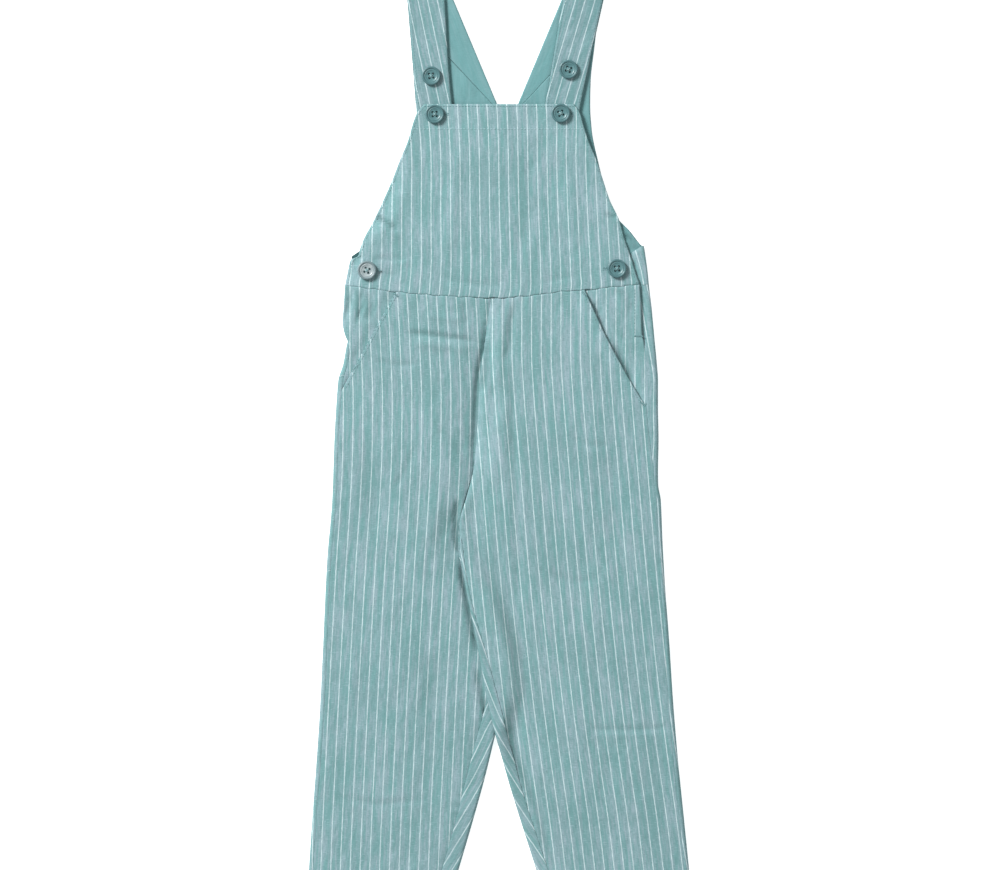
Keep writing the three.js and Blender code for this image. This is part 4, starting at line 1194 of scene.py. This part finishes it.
FINISH = {
    "striped": cloth_finish("striped_cloth", (115, 159, 160), (146, 170, 178), stripe=(194, 214, 218)),
    "strap": cloth_finish("strap_cloth", (110, 152, 154), (140, 164, 171), stripe=(190, 210, 214)),
    "lining": cloth_finish("plain_cloth", (106, 154, 156), (117, 159, 162), rough=0.45),
    # A dark cloth for the left side facing: its colour is painted shade in the notch
    "shade": cloth_finish("painted_shade_cloth", (52, 88, 90), (60, 96, 98), rough=0.5),
    "teal": plastic_finish("teal_button", (90, 130, 133), (77, 116, 120), (76, 113, 117)),
    # The same teal plastic painted pale, a painted reflection of the light on the left side button
    "pale": plastic_finish("glint_painted_button", (164, 177, 179), (142, 157, 160), (112, 132, 136)),
    "thread": thread_finish("teal_thread", (106, 150, 153), (126, 166, 170)),
    "pale_thread": thread_finish("pale_thread", (150, 186, 190), (176, 206, 210)),
    # Dark thread: real stitches at the left pocket mouth that also paint its shaded line, and painted
    # shadow lines along the strap edges
    "dark_thread": thread_finish("dark_thread", (72, 116, 118), (88, 132, 134)),
    "button_thread": thread_finish("button_thread", (108, 148, 151), (150, 184, 187)),
}


# The pieces of cloth: outer face grid, thickness, finish, and the CAD solid each stands for


def make_cloth():
    """Every piece of cloth by the name of its solid."""
    pieces = {}

    def sew(name, made, thickness, finish, facing, hem=False):
        points, shown, u = made
        shift = 0.37 * len(pieces)
        creases = name.removeprefix("front_leg_").replace("back_leg", "back")
        pieces[name] = cloth(
            name + "_cloth", points, shown, u, thickness, FINISH[finish], facing, hem, shift, creases)

    sew("back_bodice", back_bodice(), CLOTH, "striped", -1)
    sew("back_lining", back_lining(), CLOTH, "lining", 1)
    sew("front_bib", front_bib(), FACED_CLOTH, "striped", 1)
    sew("side_facing", side_facing(), CLOTH, "shade", 1)
    for hand in OUTWARD:
        sew("strap_" + hand, strap(hand, 0, 0, 1.2), CLOTH, "strap", 1)
        sew("strap_lining_" + hand, strap(hand, LINING_FACE, 0.2, -1.0), CLOTH, "lining", -1)
        sew("back_leg_" + hand, back_leg(hand), CLOTH, "striped", -1, hem=True)
        sew("front_leg_" + hand, front_leg(hand), CLOTH, "striped", 1, hem=True)
        sew("hip_" + hand, hip(hand), CLOTH, "striped", 1)
    return pieces


cloths = make_cloth()
for name, piece in cloths.items():
    if name != "side_facing":
        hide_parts(name)
    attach(piece, "root")


# Sewing


def stitch_tree():
    """Stitches of thread at even steps along every path. Sizes are metres."""
    tree, given, result = new_group(
        "stitches",
        [("Geometry", GEOMETRY, None), ("Pitch", FLOAT, 2.8 * MM), ("Length", FLOAT, 2.2 * MM),
         ("Thickness", FLOAT, 0.45 * MM), ("Turn", FLOAT, 0.0), ("Thread", "NodeSocketMaterial", None)],
        [("Geometry", GEOMETRY)], "GeometryNodeTree")
    made = partial(out_of, tree)
    path = made("GeometryNodeMeshToCurve", {"Mesh": given["Geometry"]})
    path = made("GeometryNodeSetCurveNormal", {"Curve": path}, mode="Z_UP")
    places = add_node(
        tree, "GeometryNodeCurveToPoints", {"Curve": path, "Length": given["Pitch"]},
        mode="LENGTH").outputs
    ball = made("GeometryNodeMeshUVSphere", {"Segments": 6, "Rings": 4, "Radius": 0.5})
    ball = made("GeometryNodeSetShadeSmooth", {"Geometry": ball})
    size = made("ShaderNodeCombineXYZ", {0: given["Thickness"], 1: given["Thickness"], 2: given["Length"]})
    thread = made("GeometryNodeTransform", {"Geometry": ball, "Scale": size})
    turn = made("ShaderNodeCombineXYZ", {1: given["Turn"]})
    turn = made("FunctionNodeEulerToRotation", {0: turn})
    turned = made(
        "FunctionNodeRotateRotation", {"Rotation": places["Rotation"], "Rotate By": turn},
        rotation_space="LOCAL")
    uneven = made(
        "FunctionNodeRandomValue", {0: (0.85, 0.85, 0.88), 1: (1.15, 1.15, 1.08), "Seed": 11},
        data_type="FLOAT_VECTOR")
    laid = made(
        "GeometryNodeInstanceOnPoints",
        {"Points": places["Points"], "Instance": thread, "Rotation": turned, "Scale": uneven})
    solid = made("GeometryNodeRealizeInstances", {"Geometry": laid})
    done = made("GeometryNodeSetMaterial", {"Geometry": solid, "Material": given["Thread"]})
    tree.links.new(done, result["Geometry"])
    return tree


STITCHES = stitch_tree()


def run_nodes(name, carrier, tree, values):
    """The plain mesh that a Geometry Nodes tree makes from a carrier mesh."""
    holder = add_object(name + "_path", carrier)
    modifier = holder.modifiers.new("made", "NODES")
    modifier.node_group = tree
    for item in tree.interface.items_tree:
        if item.in_out == "INPUT" and item.name in values:
            modifier[item.identifier] = values[item.name]
    mesh = baked(holder)
    mesh.name = name
    return add_object(name, mesh)


def baked(holder):
    """The evaluated mesh of an object that is then removed, and its modifiers with it."""
    depsgraph = bpy.context.evaluated_depsgraph_get()
    mesh = bpy.data.meshes.new_from_object(holder.evaluated_get(depsgraph))
    bpy.data.objects.remove(holder)
    return mesh


def sew_rows(name, paths, thread, pitch=2.8, length=2.2, thickness=0.45, turn=0.0):
    """Rows of stitches along paths of (x, down, z) points."""
    points = np.concatenate([on_table(*np.array(path, float).T) for path in paths]) * MM
    starts = np.cumsum([len(path) for path in paths])
    edges = [(k, k + 1) for k in range(len(points) - 1) if k + 1 not in starts]
    carrier = bpy.data.meshes.new(name)
    carrier.from_pydata(points.tolist(), edges, [])
    values = {"Pitch": pitch * MM, "Length": length * MM, "Thickness": thickness * MM, "Turn": turn,
              "Thread": FINISH[thread]}
    made = run_nodes(name, carrier, STITCHES, values)
    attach(made, "root")


def on_surface(top, points, step=1.5, proud=0.08):
    """A dense path over a surface, through points (x, down)."""
    points = np.array(points, float)
    spans = np.hypot(*np.diff(points, axis=0).T)
    reach = np.concatenate([[0], np.cumsum(spans)])
    at = np.linspace(0, reach[-1], max(2, int(reach[-1] / step) + 1))
    x = np.interp(at, reach, points[:, 0])
    down = np.interp(at, reach, points[:, 1])
    return np.stack([x, down, top(x, down) + proud], axis=1)


def bib_surface(x, down):
    return np.maximum(bib_top(x, down) + relief("front_bib", x, down), FACED_CLOTH)


def along_edge(curve, start, end, inset, count=40):
    """Points (x, down) that follow an edge at a distance inside it."""
    return [(float(curve(d)) + inset, d) for d in np.linspace(start, end, count)]


def at_height(points, height):
    return [(x, down, height) for x, down in points]


TOPSTITCH = {
    "bib_down": 124.6, "bib_end": 283, "bib_inset": 2.1, "facing_down": 145, "mouth_inset": 2.6,
    "strap_start": 4, "strap_end": 121, "strap_inset": 2.0,
}


def sew_topstitching():
    """The rows of stitches along edges, mouths and hems, and dark thread along the straps' edge seams that
    paints the shadow line between strap and lining.
    """
    at = TOPSTITCH
    bib_paths = [on_surface(bib_surface, [(-67, at["bib_down"]), (66, at["bib_down"])])]
    for name, inward in (("left", 1), ("right", -1)):
        edge = along_edge(bib[name], at["bib_down"], at["bib_end"], inward * at["bib_inset"])
        bib_paths.append(on_surface(bib_surface, edge))
    sew_rows("stitches_bib", bib_paths, "thread")
    facing = [(-76.5, at["facing_down"]), (74.5, at["facing_down"])]
    sew_rows("stitches_facing", [on_surface(bib_surface, facing, proud=0.12)], "pale_thread", 3.0, 2.4, 0.5)
    leg_paths, strap_paths, seam_shadow_paths = [], [], []
    for hand, out in OUTWARD.items():
        top = partial(front_top, hand)
        start, end = POCKETS[hand]["top"][1] + 3, POCKETS[hand]["foot"][1] - 2
        edge = along_edge(partial(mouth, hand), start, end, -out * at["mouth_inset"])
        leg_paths.append(on_surface(top, edge))
        hem_down = LENGTH - HEM["depth"] + 2
        inseam = float(middle[hand]["front"](hem_down)) + out * 2.0
        outseam = float(side[hand]["edge"](hem_down)) - out * 1.5
        leg_paths.append(on_surface(top, [(outseam, hem_down), (inseam, hem_down)]))
        for name, inward in (("inner", out), ("outer", -out)):
            along = partial(along_edge, column(STRAPS[hand], name), at["strap_start"], at["strap_end"])
            strap_paths.append(at_height(along(inward * at["strap_inset"], 50), STRAP_TOP + 0.06))
            # Dark thread just outside each strap edge, painting the shadow line where the strap lies over
            # its lining
            seam_shadow_paths.append(at_height(along(inward * -0.1, 50), STRAP_TOP - 1.0))
    sew_rows("stitches_legs", leg_paths, "thread")
    # Dark stitches along the shut left pocket mouth: real stitching whose dark colour also paints the
    # shaded line of the mouth
    start, end = POCKETS["left"]["top"][1] + 2, POCKETS["left"]["foot"][1] - 16
    shut = on_surface(
        partial(front_top, "left"), along_edge(partial(mouth, "left"), start, end, 0.5), proud=-0.17)
    sew_rows("stitches_pocket_left", [shut], "dark_thread", 3.7, 2.4, 0.6)
    sew_rows("stitches_straps", strap_paths, "thread")
    sew_rows("strap_seams", seam_shadow_paths, "dark_thread", 1.5, 1.9, 0.6)


def sew_bars():
    """Close stitches: the buttonholes, and the bars where an opening or a pocket mouth ends."""
    quarter = math.pi / 2
    holes = (
        ((-57.5, 131.8), (-45.5, 131.8)), ((56, 131), (66.5, 131)),
        ((-118, 272.5), (-106.5, 273.2)), ((104.5, 270.5), (93.5, 270.5)),
    )
    rims = [on_surface(bib_surface, [(x, down + shift) for x, down in hole], 0.6)
            for hole in holes for shift in (-0.75, 0.75)]
    sew_rows("buttonholes", rims, "thread", 0.55, 1.5, 0.42, quarter)
    left, right = (partial(front_top, hand) for hand in OUTWARD)
    right_hip = partial(hip_top, "right")

    def right_foot(x, down):
        return np.maximum(right(x, down), right_hip(x, down))

    bars = [on_surface(top, points, 0.6) for top, *points in (
        (right_hip, (121.6, 331), (129, 331.6)),
        (right_foot, (126.5, 390), (131.5, 394.5)),
        (left, (-131.8, 361.8), (-127.8, 357.5)),
        (left, (-95.5, 292.5), (-91, 296)),
        (right, (74.5, 291.5), (78.5, 296)),
    )]
    sew_rows("bartacks", bars, "thread", 0.5, 1.8, 0.45, quarter)
    sew_rows("stitches_placket", [on_surface(right_hip, [(121.8, 290), (121.6, 331)])], "thread")


sew_topstitching()
sew_bars()


# Buttons

BUTTON_PROFILE = (
    (0, -0.3), (5.2, -0.3), (7.2, 0.25), (8.1, 0.9), (8.5, 1.6), (8.45, 2.15), (8.15, 2.6), (7.6, 2.8),
    (7.0, 2.76), (6.6, 2.5), (6.35, 2.15), (6.1, 2.02), (5.85, 2.1), (5.55, 2.22), (5.2, 2.12),
    (4.8, 1.85), (4.3, 1.68), (3.0, 1.62), (0, 1.6),
)
BUTTON_SIDES = 64
BUTTON_RIM = {"start": 6.2, "width": 0.6}
HOLE = {"radius": 1.1, "offset": 1.8, "sides": 20, "cutter": 9}
STRAND = {"radius": 0.21, "beside": 0.22, "heights": (2.05, 2.35), "in_hole": 0.55}


def lathe(name, profile, sides):
    """A closed body turned round Z from (radius, height) points that start and end on the axis."""
    made = bmesh.new()
    turns = [2 * math.pi * k / sides for k in range(sides)]
    low = made.verts.new((0, 0, profile[0][1] * MM))
    high = made.verts.new((0, 0, profile[-1][1] * MM))
    rings = [[made.verts.new((r * math.cos(a) * MM, r * math.sin(a) * MM, z * MM)) for a in turns]
             for r, z in profile[1:-1]]
    for k in range(sides):
        after = (k + 1) % sides
        made.faces.new((low, rings[0][after], rings[0][k]))
        made.faces.new((high, rings[-1][k], rings[-1][after]))
        for lower, upper in zip(rings, rings[1:]):
            made.faces.new((lower[k], lower[after], upper[after], upper[k]))
    mesh = bpy.data.meshes.new(name)
    made.to_mesh(mesh)
    made.free()
    return mesh


def drilled_button():
    """One button with its four sewing holes, at the origin."""
    drill = bmesh.new()
    for k in range(4):
        angle = math.pi * (0.25 + 0.5 * k)
        made = bmesh.ops.create_cone(
            drill, cap_ends=True, segments=HOLE["sides"], radius1=HOLE["radius"] * MM,
            radius2=HOLE["radius"] * MM, depth=HOLE["cutter"] * MM)
        away = HOLE["offset"] * math.sqrt(2) * MM
        shift = (away * math.cos(angle), away * math.sin(angle), 0)
        bmesh.ops.translate(drill, verts=made["verts"], vec=shift)
    mesh = bpy.data.meshes.new("drill")
    drill.to_mesh(mesh)
    drill.free()
    cutter = add_object("drill", mesh)
    disc = add_object("disc", lathe("disc", BUTTON_PROFILE, BUTTON_SIDES))
    cut = disc.modifiers.new("holes", "BOOLEAN")
    cut.operation = "DIFFERENCE"
    cut.solver = "EXACT"
    cut.object = cutter
    result = baked(disc)
    bpy.data.objects.remove(cutter)
    result.materials.clear()
    places = np.empty(3 * len(result.vertices), np.float32)
    result.vertices.foreach_get("co", places)
    away = np.hypot(places[0::3], places[1::3]) / MM
    rim = step(away, BUTTON_RIM["start"], BUTTON_RIM["width"])
    made = result.attributes.new("rim", "FLOAT", "POINT")
    made.data.foreach_set("value", rim.astype(np.float32))
    return result


def tube(points, radius, sides=8):
    """Vertices and faces of a closed round thread along points."""
    points = np.array(points, float)
    along = np.gradient(points, axis=0)
    along /= np.linalg.norm(along, axis=1, keepdims=True)
    flat = np.cross(along, (0, 0, 1.0))
    flat /= np.linalg.norm(flat, axis=1, keepdims=True)
    rise = np.cross(flat, along)
    turns = np.linspace(0, 2 * math.pi, sides, endpoint=False)
    rings = [p + radius * (math.cos(a) * f + math.sin(a) * r)
             for p, f, r in zip(points, flat, rise) for a in turns]
    faces = []
    for k in range(len(points) - 1):
        for j in range(sides):
            a, b = k * sides + j, k * sides + (j + 1) % sides
            faces.append((a, b, b + sides, a + sides))
    faces.append(tuple(reversed(range(sides))))
    faces.append(tuple(range((len(points) - 1) * sides, len(points) * sides)))
    return rings, faces


def button_thread(name, centre, turn):
    """Two crossing pairs of strands, each from one hole up and over to the opposite hole."""
    verts, faces = [], []
    reach = HOLE["offset"] * math.sqrt(2) - STRAND["in_hole"]
    for k, height in enumerate(STRAND["heights"]):
        angle = turn + math.pi * (0.25 + 0.5 * k)
        away = np.array([math.cos(angle), math.sin(angle), 0])
        rise = [(reach, 0.2), (reach, 1.3), (reach * 0.8, 1.9), (reach * 0.4, height)]
        arch = [(-s, z) for s, z in rise] + [(0, height + 0.06)] + rise[::-1]
        for side_step in (-STRAND["beside"], STRAND["beside"]):
            beside = np.array([-math.sin(angle), math.cos(angle), 0]) * side_step
            strand = [away * s + beside + np.array([0, 0, z]) for s, z in arch]
            rings, ring_faces = tube(strand, STRAND["radius"])
            faces += [tuple(i + len(verts) for i in face) for face in ring_faces]
            verts += [(centre + ring) * MM for ring in rings]
    mesh = bpy.data.meshes.new(name)
    mesh.from_pydata([tuple(v) for v in verts], [], faces)
    mesh.shade_smooth()
    return add_object(name, mesh, FINISH["button_thread"])


def make_buttons():
    """The six buttons, each turned a little as it was sewn on, and their threads."""
    disc = drilled_button()
    for button in BUTTONS:
        low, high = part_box(button["name"])
        centre = np.array([(low.x + high.x) / 2, (low.y + high.y) / 2, low.z]) / MM
        mesh = disc.copy()
        mesh.name = button["name"] + "_moulded"
        mesh.transform(Matrix.Rotation(button["turn"], 4, "Z"))
        mesh.transform(Matrix.Translation(Vector(centre * MM)))
        mesh.shade_smooth()
        mesh.set_sharp_from_angle(angle=math.radians(45))
        piece = add_object(mesh.name, mesh, FINISH[button["tone"]])
        thread = button_thread(button["name"] + "_thread", centre, button["turn"])
        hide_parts(button["name"])
        for made in (piece, thread):
            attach(made, "root")


make_buttons()


# Table, light and camera

VIEW = {"width": 900, "centre": (0.675, 7.2), "distance": 3600, "above": 5, "sensor": 36}
TABLE = {"half": 3.0, "below": 0.4, "tone": 0.8, "glow": 0.72}
WORLD_LIGHT = 0.36
LAMPS = table(
    "name place size power",
    ("key", (-3.3, 2.8, 2.9), 1.6, 400),
    ("fill", (2.6, -1.6, 3.0), 2.0, 22),
)


def studio():
    """A pale table, soft light and a camera that looks straight down."""
    mesh = bpy.data.meshes.new("table_top")
    half, tone = TABLE["half"], TABLE["tone"]
    mesh.from_pydata(
        [(-half, -half, 0), (half, -half, 0), (half, half, 0), (-half, half, 0)], [], [(0, 1, 2, 3)])
    paper, _, _ = new_material("paper", {
        "Base Color": (tone, tone, tone, 1), "Roughness": 0.95, "Emission Color": (1, 1, 1, 1),
        "Emission Strength": TABLE["glow"]})
    floor = add_object("table_top", mesh, paper)
    floor.location.z = -TABLE["below"] * MM

    world = bpy.data.worlds.new("studio")
    world.use_nodes = True
    backdrop = world.node_tree.nodes["Background"].inputs
    backdrop["Color"].default_value = (1, 1, 1, 1)
    backdrop["Strength"].default_value = WORLD_LIGHT
    scene = bpy.context.scene
    scene.world = world
    for row in LAMPS:
        lamp = bpy.data.lights.new(row["name"], "AREA")
        lamp.size = row["size"]
        lamp.energy = row["power"]
        light = add_object(row["name"], lamp)
        light.location = row["place"]
        light.rotation_euler = (-light.location).to_track_quat("-Z", "Y").to_euler()

    lens = bpy.data.cameras.new("camera")
    lens.sensor_width = VIEW["sensor"]
    lens.sensor_fit = "HORIZONTAL"
    lens.lens = VIEW["sensor"] * VIEW["distance"] / VIEW["width"]
    lens.clip_end = 50
    camera = add_object("camera", lens)
    across, up = VIEW["centre"]
    camera.location = (across * MM, up * MM, (VIEW["distance"] + VIEW["above"]) * MM)
    bpy.context.scene.camera = camera
    scene.view_settings.view_transform = "Standard"
    scene.view_settings.look = "None"


studio()
